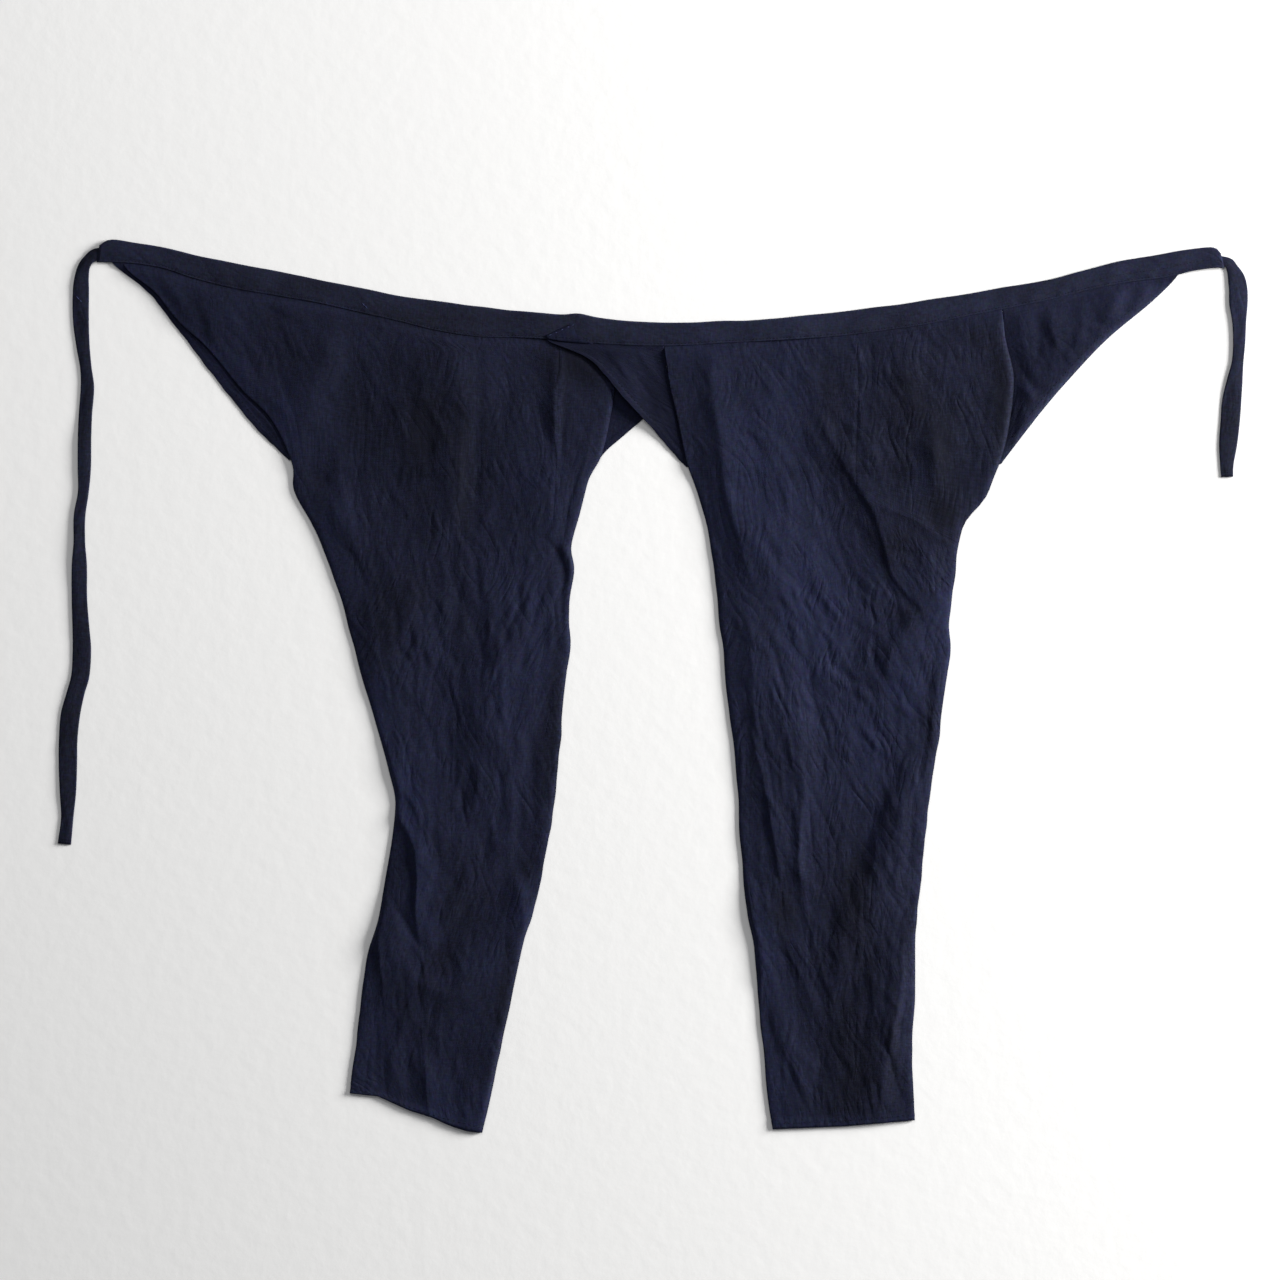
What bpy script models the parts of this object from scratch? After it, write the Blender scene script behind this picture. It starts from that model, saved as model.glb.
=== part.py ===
"""Momohiki, close-fitting Japanese work trousers, spread flat with the backs crossed at the waist.

Each leg is one cloth wrapped into a flat tube that meets in an inseam on the underside. Above the
crotch the under side opens in a hemmed slit, and a back wing and a front wing carry on from the
tube's folded edges up to the waistband. Positions are in millimetres on the table that the garment
is spread on: x from the table's left edge, y from its far edge, z up from the table.
"""
import math

import bmesh
import bpy
from mathutils import Vector

# Driving sizes, in millimetres
MM = 0.001
TABLE_MIDDLE_X = 651.9  # the garment's middle on the table, which becomes the model's origin
TABLE_MIDDLE_Y = 686.75
WALL = 1.0  # one layer of cloth
GAP = 0.3  # between two layers, and between two pieces at a seam
LAYER = WALL + GAP  # from the middle of one layer to the middle of the next
ON_TABLE = WALL / 2  # the middle of the layer that rests on the table
LAP = 12.0  # how far a folded edge turns under, and how far a wing reaches below it
WAIST_TUCK = 13.0  # how far the panels reach into the waistband
BILLOW = 3.0  # how far the loose upper layer stands above the flat one
EDGE_ROUND = 7.0  # how far in from a folded edge the cloth takes to rise
TIE_WALL = 1.6  # a tie is the same cloth folded in
TIE_ROOM = 0.6  # how much more the waistband opens where it holds a tie
OVER_LEFT_LEG = 3.6  # how far the left leg's folded edge lifts the right back wing
TURN = LAYER / 2  # the bend of a folded edge, to the middle of the cloth
EDGE_INSET = WALL / 2 + TURN  # from a folded edge in to where the cloth lies level
UNDER_CELLS = 4  # cells across each half of a leg's under side

# Rows of a leg's grid: rows 0 and 1 are inside the waistband, the rest are in the tables
PANEL_ROW = 9  # along a let-in panel's lower seam
CROTCH_ROW = 12  # where the slit ends and the inseam starts
RIGHT_JUNCTION_ROW = 6  # where the wings' hems meet the leg's folded edges
LEFT_JUNCTION_ROW = 7
RIGHT_CROTCH = (850, 612)
LEFT_CROTCH = (416, 609)

# The waistband, end to end: its top edge and its lower edge
WAISTBAND = (
    # top_x, top_y, seam_x, seam_y
    (100, 245, 97, 262),
    (112, 239.5, 112, 262.5),
    (140, 243.5, 136, 264),
    (170, 249, 165, 269),
    (200, 256, 195, 279),
    (240, 264, 236, 289),
    (280, 272, 277, 296),
    (320, 280, 317, 303),
    (360, 288, 357, 312),
    (400, 296, 397, 321),
    (440, 301.5, 438, 331),
    (480, 306.5, 479, 337),
    (520, 311, 519, 338),
    (560, 314, 560, 340),
    (600, 318, 600, 344),
    (640, 321.5, 641, 346),
    (680, 322.5, 681, 346),
    (720, 321.5, 721, 343.5),
    (760, 319.5, 761, 341.5),
    (800, 316, 802, 339),
    (840, 312, 842, 336),
    (880, 307, 883, 331),
    (920, 301, 924, 325),
    (960, 294.5, 964, 317),
    (1000, 288, 1005, 309),
    (1040, 281, 1045, 301),
    (1080, 271.5, 1085, 291),
    (1120, 261, 1125, 283),
    (1160, 254, 1164, 278),
    (1190, 249, 1193, 271),
    (1213, 247, 1214, 268),
    (1220, 252.5, 1224, 268),
)

# The legs, from just under the waistband to the hem. The plain side has no panel let in, the seam
# column runs down the upper face, and the panel side is beyond it.
RIGHT_LEG_ROWS = (
    # plain_x, plain_y, seam_x, seam_y, panel_x, panel_y
    (667, 374, 857, 362, 1006, 341),
    (673, 400, 858, 388, 1013, 372),
    (679, 428, 857, 416, 1012, 402),
    (684, 450, 856, 442, 1007, 436),
    (688, 467, 856, 464, 998, 466),
    (697, 493, 857, 474, 986, 497),
    (705, 520, 857, 483, 966, 521),
    (709, 543, 857, 492, 959, 544),
    (713, 567, 856, 532, 955.5, 574),
    (716, 592, 853, 573, 952.5, 593),
    (719, 620, 850, 612, 949.5, 620),
    (723, 650, 840, 650, 950, 650),
    (725.5, 682, 836, 682, 946.5, 682),
    (729, 714, 835, 714, 942.5, 712),
    (733.5, 746, 834, 745, 938, 743),
    (736, 776, 833, 774, 933, 773),
    (738, 804, 832, 802, 929, 802),
    (740, 833, 832, 832, 926, 830),
    (744, 862, 832, 860, 924, 858),
    (746.5, 890, 833, 888, 921, 886),
    (749, 918, 833, 916, 917, 912),
    (754.5, 945, 834, 943, 915, 942),
    (757.5, 972, 836, 970, 915, 968),
    (759.5, 1000, 837, 998, 915, 996),
    (762, 1030, 838, 1027, 913.5, 1024),
    (764, 1060, 839, 1056, 912.5, 1052),
    (766.5, 1088, 840, 1084, 913, 1080),
    (769.5, 1110, 842, 1107, 914, 1103),
    (773, 1130, 844, 1127, 915, 1121),
)
LEFT_LEG_ROWS = (
    # plain_x, plain_y, seam_x, seam_y, panel_x, panel_y
    (150, 286, 559, 361, 616, 363),
    (177, 320, 558, 385, 615, 385),
    (207, 347, 557, 408, 612, 408),
    (241, 388, 556, 430, 608, 430),
    (271, 419, 556, 446, 604, 446),
    (292, 462, 556, 463, 600, 458),
    (293.5, 490, 555, 488, 589.5, 479),
    (310, 521, 553, 520, 580, 513),
    (322, 548, 551, 546, 572, 545),
    (333, 577, 545, 572, 574.5, 569),
    (344, 609, 535, 607, 569, 606),
    (352, 640, 525, 640, 570.5, 640),
    (360.5, 672, 515, 672, 567, 672),
    (370, 704, 508, 704, 564, 703),
    (379, 735, 503, 735, 561, 735),
    (388, 768, 500, 767, 558, 766),
    (395, 799, 497, 798, 555, 798),
    (393, 830, 493, 830, 550.5, 830),
    (388, 862, 488, 860, 545.5, 860),
    (383, 892, 483, 889, 540, 887),
    (378, 920, 477, 916, 533, 912),
    (368, 950, 468, 945, 524, 940),
    (363, 980, 461, 973, 517, 971),
    (360, 1008, 456, 1003, 511, 1001),
    (357, 1036, 451, 1033, 505, 1031),
    (353, 1062, 446, 1064, 498.5, 1061),
    (351, 1080, 443, 1094, 491.5, 1093),
    (350, 1093, 444, 1124, 483.5, 1134),
)

# The wings' hemmed edges, one point for each row of the leg that the wing is sewn to
RIGHT_BACK_HEM = ((590, 360), (621, 395), (654, 431), (673, 453), (686, 467))
RIGHT_FRONT_HEM = ((1152, 301), (1107, 339), (1068, 380), (1038, 415), (1001, 464))
LEFT_BACK_HEM = ((700, 370), (672, 394), (643, 419), (621, 438), (608, 449), (601, 457))
LEFT_FRONT_HEM = ((147, 291), (170, 319), (193, 349), (228, 394), (256, 428), (289, 460))

# The right back wing's top corner, turned up over the waistband and tacked down: rows from the
# tip towards the waistband, each from its upper edge to its lower one
TURNED_CORNER = (
    # upper_x, upper_y, lower_x, lower_y
    (545, 336.5, 546.5, 338.5),
    (555, 331.5, 561, 341.5),
    (565, 327, 577, 343),
    (575, 323, 593, 344),
)

# The largest folds of the upper layer: a path through three points, the width on the path's left
# and right hands, and the height. A low width on one hand makes a steep side.
RIGHT_LEG_FOLDS = (
    # x1, y1, x2, y2, x3, y3, left_width, right_width, height
    (800, 385, 838, 475, 934, 626, 52, 13, 7.0),
    (705, 352, 738, 440, 768, 605, 24, 20, 4.0),
    (748, 630, 762, 850, 828, 1050, 26, 15, 4.5),
    (888, 600, 916, 720, 908, 880, 12, 20, 3.5),
    (905, 925, 888, 1000, 900, 1100, 14, 18, 3.0),
)
LEFT_LEG_FOLDS = (
    # x1, y1, x2, y2, x3, y3, left_width, right_width, height
    (392, 800, 432, 875, 412, 945, 30, 12, 5.0),
    (556, 400, 548, 480, 566, 640, 18, 12, 3.5),
    (322, 320, 312, 410, 352, 560, 45, 22, 2.5),
    (455, 620, 470, 720, 452, 830, 22, 28, 2.5),
    (350, 600, 408, 700, 404, 790, 24, 16, 3.0),
    (430, 940, 410, 1000, 398, 1090, 22, 18, 2.5),
)

# The ties, from inside the waistband's end to the stitched tip. A roll stands one edge up.
LONG_TIE = (
    # x, y, width, roll in degrees, height of its middle layer where the waistband holds it
    (109, 252.5, 12, 0, 2.1),
    (95.5, 255, 12, 0, 2.1),
    (89.5, 259, 11, 40, 0),
    (84.5, 266, 12, 35, 0),
    (82, 276, 14, 15, 0),
    (81.5, 292, 14, 0, 0),
    (80.5, 320, 14, 0, 0),
    (83, 350, 13, 0, 0),
    (87.5, 380, 13.5, 0, 0),
    (86, 402, 12, 10, 0),
    (85.5, 432, 12, 15, 0),
    (84, 468, 12, 25, 0),
    (82.5, 500, 12, 25, 0),
    (79.5, 528, 12, 30, 0),
    (80, 548, 11, 45, 0),
    (79, 566, 13, 15, 0),
    (79.5, 598, 13, 0, 0),
    (81, 628, 13, 0, 0),
    (84, 650, 14, 0, 0),
    (81, 675, 14, 0, 0),
    (73, 704, 15, 0, 0),
    (69, 732, 18, 0, 0),
    (69, 762, 17, 0, 0),
    (68.5, 792, 15, 0, 0),
    (67.5, 818, 12, 0, 0),
    (64.5, 844, 13.5, 0, 0),
)
SHORT_TIE = (
    # x, y, width, roll in degrees, height of its middle layer where the waistband holds it
    (1209, 260, 10, 0, 2.1),
    (1227, 262.5, 10, 0, 2.1),
    (1232, 268.5, 12, 35, 0),
    (1235.5, 278, 14, 35, 0),
    (1237, 289, 17, 20, 0),
    (1238, 304, 17, 25, 0),
    (1238.5, 324, 15, 35, 0),
    (1238.5, 346, 12, 42, 0),
    (1237, 364, 12, 42, 0),
    (1233, 384, 16, 20, 0),
    (1231, 404, 18, 0, 0),
    (1229.5, 424, 18, 0, 0),
    (1227.5, 446, 16, 0, 0),
    (1226.5, 464, 13, 0, 0),
    (1227, 477, 12, 0, 0),
)

# Indigo cotton, linear red, green and blue
LEG_CLOTH = (0.0130, 0.0137, 0.0260)
WING_CLOTH = (0.0110, 0.0116, 0.0225)
WAIST_CLOTH = (0.0170, 0.0178, 0.0330)


def place(x, y, z):
    """A point on the table, as metres in the model's frame."""
    return Vector(((x - TABLE_MIDDLE_X) * MM, (TABLE_MIDDLE_Y - y) * MM, z * MM))


def ease(value, start, end):
    """0 before start and 1 after end, with a smooth rise between them."""
    t = min(1.0, max(0.0, (value - start) / (end - start)))
    return t * t * (3 - 2 * t)


def between(a, b, t):
    return Vector(a) * (1 - t) + Vector(b) * t


def seam_height_on_table(x):
    """y of the waistband's lower edge at x."""
    for left, right in zip(WAISTBAND, WAISTBAND[1:]):
        if x <= right[2]:
            break
    t = (x - left[2]) / (right[2] - left[2])
    return left[3] + (right[3] - left[3]) * t


def left_back_wing_below(x, y):
    """1 where the left back wing lies under the right leg, fading to 0 past its hem."""
    hem_y = 344 + (735 - x) * 0.85
    return 1 - ease(y, hem_y, hem_y + 34)


def right_cloth_lift(x, y):
    """How far the right leg's layers are lifted by the left back wing below them."""
    return (LAYER + GAP) * left_back_wing_below(x, y)


def right_wing_lift(x, y):
    """How far the right back wing is lifted by the left leg's layers below it."""
    over_left_leg = 1 - ease(x, 622, 656)
    return right_cloth_lift(x, y) + OVER_LEFT_LEG * over_left_leg


def no_lift(x, y):
    return 0.0


def right_waist_lift(x):
    """Inside the waistband the right leg lies over the left one, as far as x = 740."""
    return LAYER * (1 - ease(x, 740, 775))


def no_waist_lift(x):
    return 0.0


def left_loft(x, y):
    """The left leg lies low where the right back wing lies on it."""
    return 1 - 0.85 * ease(x, 500, 540) * (1 - ease(y, 405, 450))


def full_loft(x, y):
    return 1.0


def fold_height(folds, x, y):
    """The height that the folds add at a point."""
    total = 0.0
    for x1, y1, x2, y2, x3, y3, left_width, right_width, height in folds:
        steps = 8
        path = []
        for k in range(steps + 1):
            t = k / steps
            path.append(between(between((x1, y1), (x2, y2), t), between((x2, y2), (x3, y3), t), t))
        best = None
        for k in range(steps):
            run = path[k + 1] - path[k]
            away = Vector((x, y)) - path[k]
            t = min(1.0, max(0.0, away.dot(run) / run.length_squared))
            off = away - run * t
            if best is None or off.length < best[0]:
                side = run.x * away.y - run.y * away.x
                best = (off.length, side, (k + t) / steps)
        distance, side, along = best
        width = right_width if side > 0 else left_width
        fade = math.sin(math.pi * min(1.0, max(0.0, 0.08 + 0.84 * along))) ** 0.7
        total += height * fade * math.exp(-((distance / width) ** 2))
    return total


def cloth_sheet(name, grid, keep, wall, colour):
    """One closed wall of cloth. The grid holds rows of (middle point, direction across the wall),
    and keep(row, column) says which of its cells are cloth."""
    sheet = bmesh.new()
    across = sheet.verts.layers.float_vector.new("across")
    corners = {}

    def corner(r, c):
        if (r, c) not in corners:
            middle, direction = grid[r][c]
            vert = sheet.verts.new(middle - direction * (wall / 2 * MM))
            vert[across] = direction * (wall * MM)
            corners[r, c] = vert
        return corners[r, c]

    for r in range(len(grid) - 1):
        for c in range(len(grid[0]) - 1):
            if keep(r, c):
                a, b = corner(r, c), corner(r, c + 1)
                d, e = corner(r + 1, c), corner(r + 1, c + 1)
                sheet.faces.new((a, b, e))
                sheet.faces.new((a, e, d))
    far_side = bmesh.ops.extrude_face_region(sheet, geom=sheet.faces[:], use_keep_orig=True)
    for item in far_side["geom"]:
        if isinstance(item, bmesh.types.BMVert):
            item.co += item[across]
    bmesh.ops.recalc_face_normals(sheet, faces=sheet.faces[:])
    mesh = bpy.data.meshes.new(name)
    sheet.to_mesh(mesh)
    sheet.free()
    mesh.shade_smooth()
    mesh.set_sharp_from_angle(angle=math.radians(50))
    piece = bpy.data.objects.new(name, mesh)
    bpy.context.scene.collection.objects.link(piece)
    mesh.materials.append(cotton(name + "_cotton", colour))
    return piece


def cotton(name, colour):
    material = bpy.data.materials.new(name)
    material.use_nodes = True
    shader = material.node_tree.nodes["Principled BSDF"]
    shader.inputs["Base Color"].default_value = (*colour, 1)
    shader.inputs["Roughness"].default_value = 0.9
    shader.inputs["Metallic"].default_value = 0.0
    return material


class Leg:
    """One leg: the grid of its upper layer, folded edges and under side, row by row."""

    def __init__(self, rows, waist_x, junction, crotch, plain_cells, panel_cells):
        self.edge_rows = [[self.waist_point(x, -WAIST_TUCK) for x in waist_x[0]]]
        self.edge_rows.append([self.waist_point(x, 1.0) for x in waist_x[1]])
        self.edge_rows += [[Vector(r[0:2]), Vector(r[2:4]), Vector(r[4:6])] for r in rows]
        self.junction = junction  # the row where the wings' hems meet the tube
        self.crotch = Vector(crotch)
        self.plain_cells = plain_cells
        self.panel_cells = panel_cells

    @staticmethod
    def waist_point(x, below):
        return Vector((x, seam_height_on_table(x) + below))

    def upper_run(self, r):
        """Points across the upper layer in row r, each with its distance to the nearer edge."""
        plain, seam, panel = self.edge_rows[r]
        points = []
        for start, end, cells in ((plain, seam, self.plain_cells), (panel, seam, self.panel_cells)):
            length = (seam - start).length
            side = []
            for k in range(cells + 1):
                even = EDGE_ROUND + (length - EDGE_ROUND) * (k - 1) / (cells - 1)
                distance = EDGE_INSET if k == 0 else even
                point = between(start, end, distance / length)
                if r < 2:
                    point.y = seam_height_on_table(point.x) + (1.0 if r else -WAIST_TUCK)
                side.append((point, distance))
            points.append(side)
        return points[0] + points[1][-2::-1]

    def slit_point(self, r, edge, inward, hand):
        """Where the under side ends in row r: at its turned edge, hem or inseam."""
        turned = edge + inward * LAP
        if r <= self.junction:
            return turned
        if r < CROTCH_ROW:
            start = self.edge_rows[self.junction][0 if hand < 0 else 2]
            lead = start + (self.crotch - start).normalized() * LAP
            t = (r - self.junction) / (CROTCH_ROW - self.junction)
            return between(lead, self.crotch, t)
        last = self.edge_rows[-1]
        hem_middle = between(last[0], last[2], 0.5)
        t = (r - CROTCH_ROW) / (len(self.edge_rows) - 1 - CROTCH_ROW)
        return between(self.crotch, hem_middle, t) + Vector((hand * GAP / 2, 0))

    def grid(self, folds, lift, waist_lift, loft):
        grid = []
        last = len(self.edge_rows) - 1
        for r, (plain, seam, panel) in enumerate(self.edge_rows):
            above = r <= self.junction
            in_waist = r < 2
            under_z = ON_TABLE + (LAYER if above else 0)
            row_loft = (0, 0, 0.35, 0.8)[r] if r < 4 else 1 - 0.5 * ease(r, last - 2, last)
            upper = self.upper_run(r)
            row = []
            for point, distance in upper:
                if in_waist:
                    z = ON_TABLE + LAYER + waist_lift(point.x)
                else:
                    inside = 1 - math.exp(-(distance - EDGE_INSET) / EDGE_ROUND)
                    rise = BILLOW * loft(point.x, point.y) + fold_height(folds, point.x, point.y)
                    z = under_z + LAYER + lift(point.x, point.y) + row_loft * rise * inside
                row.append([place(point.x, point.y, z), None])
            sides = []
            for edge, other, end, hand in ((plain, seam, 0, -1), (panel, seam, -1, 1)):
                inward = (other - edge).normalized()
                start = edge + inward * EDGE_INSET
                finish = self.slit_point(r, edge, inward, hand)
                run = []
                for k in range(UNDER_CELLS + 1):
                    point = between(start, finish, k / UNDER_CELLS)
                    z = under_z + lift(point.x, point.y)
                    run.append([place(point.x, point.y, z), Vector((0, 0, -1))])
                turn = edge + inward * (WALL / 2)
                turn_z = (run[0][0].z + row[end][0].z) / 2 / MM
                outward = Vector((-inward.x, inward.y, 0))
                sides.append((run, [place(turn.x, turn.y, turn_z), outward]))
            (plain_run, plain_turn), (panel_run, panel_turn) = sides
            grid.append(plain_run[::-1] + [plain_turn] + row + [panel_turn] + panel_run)
        self.first_upper = UNDER_CELLS + 2
        self.last_upper = self.first_upper + self.plain_cells + self.panel_cells
        self.seam_column = self.first_upper + self.plain_cells
        point_across_upper(grid, self.first_upper, self.last_upper)
        return grid

    def is_cloth(self, r, c):
        """Inside the waistband, and just below it, only the upper layer is there."""
        return r >= 2 or self.first_upper <= c < self.last_upper

    def in_panel(self, r, c):
        return r < PANEL_ROW and c >= self.seam_column


def point_across_upper(grid, first, last):
    """Sets the direction across the wall, square to the upper layer, in each of its points."""
    for r, row in enumerate(grid):
        before, after = grid[max(0, r - 1)], grid[min(len(grid) - 1, r + 1)]
        for c in range(first, last + 1):
            sideways = row[min(last, c + 1)][0] - row[max(first, c - 1)][0]
            down = after[c][0] - before[c][0]
            normal = sideways.cross(down).normalized()
            row[c][1] = -normal if normal.z < 0 else normal


def parted(grid, leg, own_side):
    """The grid with its panel seam moved half a gap to the leg's side (-1) or the panel's (1)."""
    moved = [[list(cell) for cell in row] for row in grid]
    half = GAP / 2 * MM
    for r in range(PANEL_ROW + 1):
        c = leg.seam_column
        step = grid[r][c + own_side][0] - grid[r][c][0]
        moved[r][c][0] = moved[r][c][0] + step.normalized() * half
    for c in range(leg.seam_column, len(grid[0])):
        step = grid[PANEL_ROW - own_side][c][0] - grid[PANEL_ROW][c][0]
        moved[PANEL_ROW][c][0] = moved[PANEL_ROW][c][0] + step.normalized() * half
    return moved


def wing_grid(leg, end, hem, waist_hem_x, cells, lift, waist_lift):
    """A wing's grid: a lap under the leg's folded edge, then cloth out to its hem."""
    grid = []
    hem_rows = [leg.waist_point(x, y) for x, y in zip(waist_hem_x, (-WAIST_TUCK, 1.0))]
    hem_rows += [Vector(point) for point in hem]
    for r, hem_point in enumerate(hem_rows):
        edge, seam = leg.edge_rows[r][end], leg.edge_rows[r][1]
        inward = (seam - edge).normalized()
        butt = edge + inward * (EDGE_INSET - GAP)
        lapped = edge + inward * LAP
        row = []
        for k in range(-1, cells + 1):
            point = lapped if k < 0 else between(butt, hem_point, k / cells)
            if r < 2:
                point.y = seam_height_on_table(point.x) + (1.0 if r else -WAIST_TUCK)
                z = ON_TABLE + LAYER + waist_lift(point.x)
            else:
                z = ON_TABLE + lift(point.x, point.y)
            row.append((place(point.x, point.y, z), Vector((0, 0, 1))))
        grid.append(row)
    return grid


def is_wing(r, c):
    """The lap starts below the waistband."""
    return r >= 2 or c >= 1


def waistband_grid():
    """The waistband's section, row by row: the back from its lower edge up, the fold, the front."""
    grid = []
    for top_x, top_y, seam_x, seam_y in WAISTBAND:
        top, seam = Vector((top_x, top_y)), Vector((seam_x, seam_y))
        width = (seam - top).length
        down = (seam - top) / width
        two_layers = ease(top_x, 480, 520) * (1 - ease(top_x, 790, 835))
        at_tie = 1 - ease(top_x, 112, 170) * (1 - ease(top_x, 1160, 1205))
        front_z = ON_TABLE + 2 * LAYER + LAYER * two_layers + TIE_ROOM * at_tie
        turn = (front_z - ON_TABLE) / 2
        row = []
        for share in (1.0, 0.5, 0.0):
            reach = WALL / 2 + turn
            point = top + down * (reach + (width - reach) * share)
            row.append((place(point.x, point.y, ON_TABLE), Vector((0, 0, -1))))
        fold = top + down * (WALL / 2)
        row.append((place(fold.x, fold.y, ON_TABLE + turn), Vector((-down.x, down.y, 0))))
        for share in (0.0, 0.5, 1.0):
            point = top + down * (reach + (width - reach) * share)
            row.append((place(point.x, point.y, front_z), Vector((0, 0, 1))))
        grid.append(row)
    return grid


def corner_grid():
    """The turned corner's grid, lying on the waistband's front where that covers two layers."""
    z = ON_TABLE + 4 * LAYER
    grid = []
    for upper_x, upper_y, lower_x, lower_y in TURNED_CORNER:
        row = []
        for share in (0.0, 0.5, 1.0):
            point = between((upper_x, upper_y), (lower_x, lower_y), share)
            row.append((place(point.x, point.y, z), Vector((0, 0, 1))))
        grid.append(row)
    return grid


def tie_grid(stations):
    """A ribbon along the stations, resting on the table or held in the waistband."""
    grid = []
    for k, (x, y, width, roll, held_z) in enumerate(stations):
        before, after = stations[max(0, k - 1)], stations[min(len(stations) - 1, k + 1)]
        along = Vector((after[0] - before[0], before[1] - after[1])).normalized()
        angle = math.radians(roll)
        side = Vector((-along.y * math.cos(angle), along.x * math.cos(angle), math.sin(angle)))
        face = Vector((along.y * math.sin(angle), -along.x * math.sin(angle), math.cos(angle)))
        z = held_z or TIE_WALL / 2 * math.cos(angle) + width / 2 * abs(math.sin(angle))
        middle = place(x, y, z)
        grid.append([(middle + side * (s * width / 2 * MM), face) for s in (-1, 0, 1)])
    return grid


def every_cell(r, c):
    return True


def main():
    for old in list(bpy.data.objects):
        bpy.data.objects.remove(old, do_unlink=True)

    right_waist_x = ((661, 856, 1001), (663, 856, 1003))
    left_waist_x = ((120, 557, 614), (122, 558, 615))
    right = Leg(RIGHT_LEG_ROWS, right_waist_x, RIGHT_JUNCTION_ROW, RIGHT_CROTCH, 9, 8)
    left = Leg(LEFT_LEG_ROWS, left_waist_x, LEFT_JUNCTION_ROW, LEFT_CROTCH, 12, 4)
    right_grid = right.grid(RIGHT_LEG_FOLDS, right_cloth_lift, right_waist_lift, full_loft)
    left_grid = left.grid(LEFT_LEG_FOLDS, no_lift, no_waist_lift, left_loft)

    for side, leg, grid, panel_name in (
        ("right", right, right_grid, "right_hip_panel"),
        ("left", left, left_grid, "left_seat_panel"),
    ):
        def leg_cell(r, c, leg=leg):
            return leg.is_cloth(r, c) and not leg.in_panel(r, c)

        def panel_cell(r, c, leg=leg):
            return leg.is_cloth(r, c) and leg.in_panel(r, c)

        cloth_sheet(side + "_leg", parted(grid, leg, -1), leg_cell, WALL, LEG_CLOTH)
        cloth_sheet(panel_name, parted(grid, leg, 1), panel_cell, WALL, LEG_CLOTH)

    wings = (
        # name, leg, side of the leg, hem, x of the hem at the waist, cells across, lifts
        ("right_back_wing", right, 0, RIGHT_BACK_HEM, (556, 547), 6, right_wing_lift, right_waist_lift),
        ("right_front_wing", right, 2, RIGHT_FRONT_HEM, (1181, 1177), 8, no_lift, no_waist_lift),
        ("left_back_wing", left, 2, LEFT_BACK_HEM, (736, 733), 6, no_lift, no_waist_lift),
        ("left_front_wing", left, 0, LEFT_FRONT_HEM, (112, 113), 2, no_lift, no_waist_lift),
    )
    for name, leg, end, hem, waist_hem_x, cells, lift, waist_lift in wings:
        grid = wing_grid(leg, end, hem, waist_hem_x, cells, lift, waist_lift)
        cloth_sheet(name, grid, is_wing, WALL, WING_CLOTH)

    cloth_sheet("waistband", waistband_grid(), every_cell, WALL, WAIST_CLOTH)
    cloth_sheet("turned_corner", corner_grid(), every_cell, WALL, WING_CLOTH)
    cloth_sheet("long_tie", tie_grid(LONG_TIE), every_cell, TIE_WALL, WAIST_CLOTH)
    cloth_sheet("short_tie", tie_grid(SHORT_TIE), every_cell, TIE_WALL, WAIST_CLOTH)


main()
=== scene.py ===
# %% [markdown]
# # Momohiki work trousers, spread flat
#
# Momohiki are close-fitting Japanese work trousers. Each leg is cut nearly in one piece and sewn into a
# tube, the two backs are crossed at the waist instead of being joined, and a long waistband ends in
# two ties. This pair is plain indigo cotton. It lies spread out on a pale surface, seen from straight
# above.
#
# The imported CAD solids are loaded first. They stay as the physical model, and finer cloth made here
# stands for each of them.

# %% Load the frame
import math
from functools import partial

import bmesh
import bpy
import numpy as np
from mathutils import Matrix, Vector, noise
from mathutils.bvhtree import BVHTree


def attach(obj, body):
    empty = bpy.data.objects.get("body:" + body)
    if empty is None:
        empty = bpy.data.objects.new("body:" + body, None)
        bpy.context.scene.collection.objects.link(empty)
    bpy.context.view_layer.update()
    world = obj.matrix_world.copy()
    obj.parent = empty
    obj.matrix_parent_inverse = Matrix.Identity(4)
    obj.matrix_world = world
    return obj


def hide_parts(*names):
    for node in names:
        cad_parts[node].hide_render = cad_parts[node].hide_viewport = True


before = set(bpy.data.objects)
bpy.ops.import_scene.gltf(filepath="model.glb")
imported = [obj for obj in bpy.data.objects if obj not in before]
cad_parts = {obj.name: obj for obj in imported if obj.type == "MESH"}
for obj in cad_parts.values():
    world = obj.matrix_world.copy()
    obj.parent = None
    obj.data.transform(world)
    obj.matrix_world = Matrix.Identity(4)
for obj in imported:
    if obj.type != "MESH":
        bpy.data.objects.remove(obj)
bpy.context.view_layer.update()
print("CAD nodes:", ", ".join(sorted(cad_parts)))

# %% [markdown]
# ## Where things are
#
# Everything is placed in millimetres on the table that the garment lies on: x from the table's left
# edge, y from its far edge, z up. Blender works in metres with +Y away from the viewer, so one
# function turns the one into the other. The places are numpy arrays, because a sheet of cloth has
# tens of thousands of points and an array moves them all in one line.

# %% From the table to Blender
MM = 0.001
TABLE_MIDDLE = (651.9, 686.75)


def place(x, y, z):
    """Points on the table, in millimetres, as metres in Blender's world."""
    x, y, z = np.broadcast_arrays(x, y, z)
    return np.stack([(x - TABLE_MIDDLE[0]) * MM, (TABLE_MIDDLE[1] - y) * MM, z * MM], axis=-1)


def ease(value, start, end):
    """0 before start and 1 after end, with a smooth rise between them."""
    t = np.clip((np.asarray(value, float) - start) / (end - start), 0, 1)
    return t * t * (3 - 2 * t)


print("table middle:", place(*TABLE_MIDDLE, 0))

# %% [markdown]
# ## A smooth line through measured places
#
# A cut edge is measured at a few places, and cloth runs smoothly between them. The Catmull-Rom
# spline is the simplest curve that passes through all its points: at each point it heads from the
# one before towards the one after. It works just as well on whole rows of numbers.

# %% Smooth lines


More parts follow.
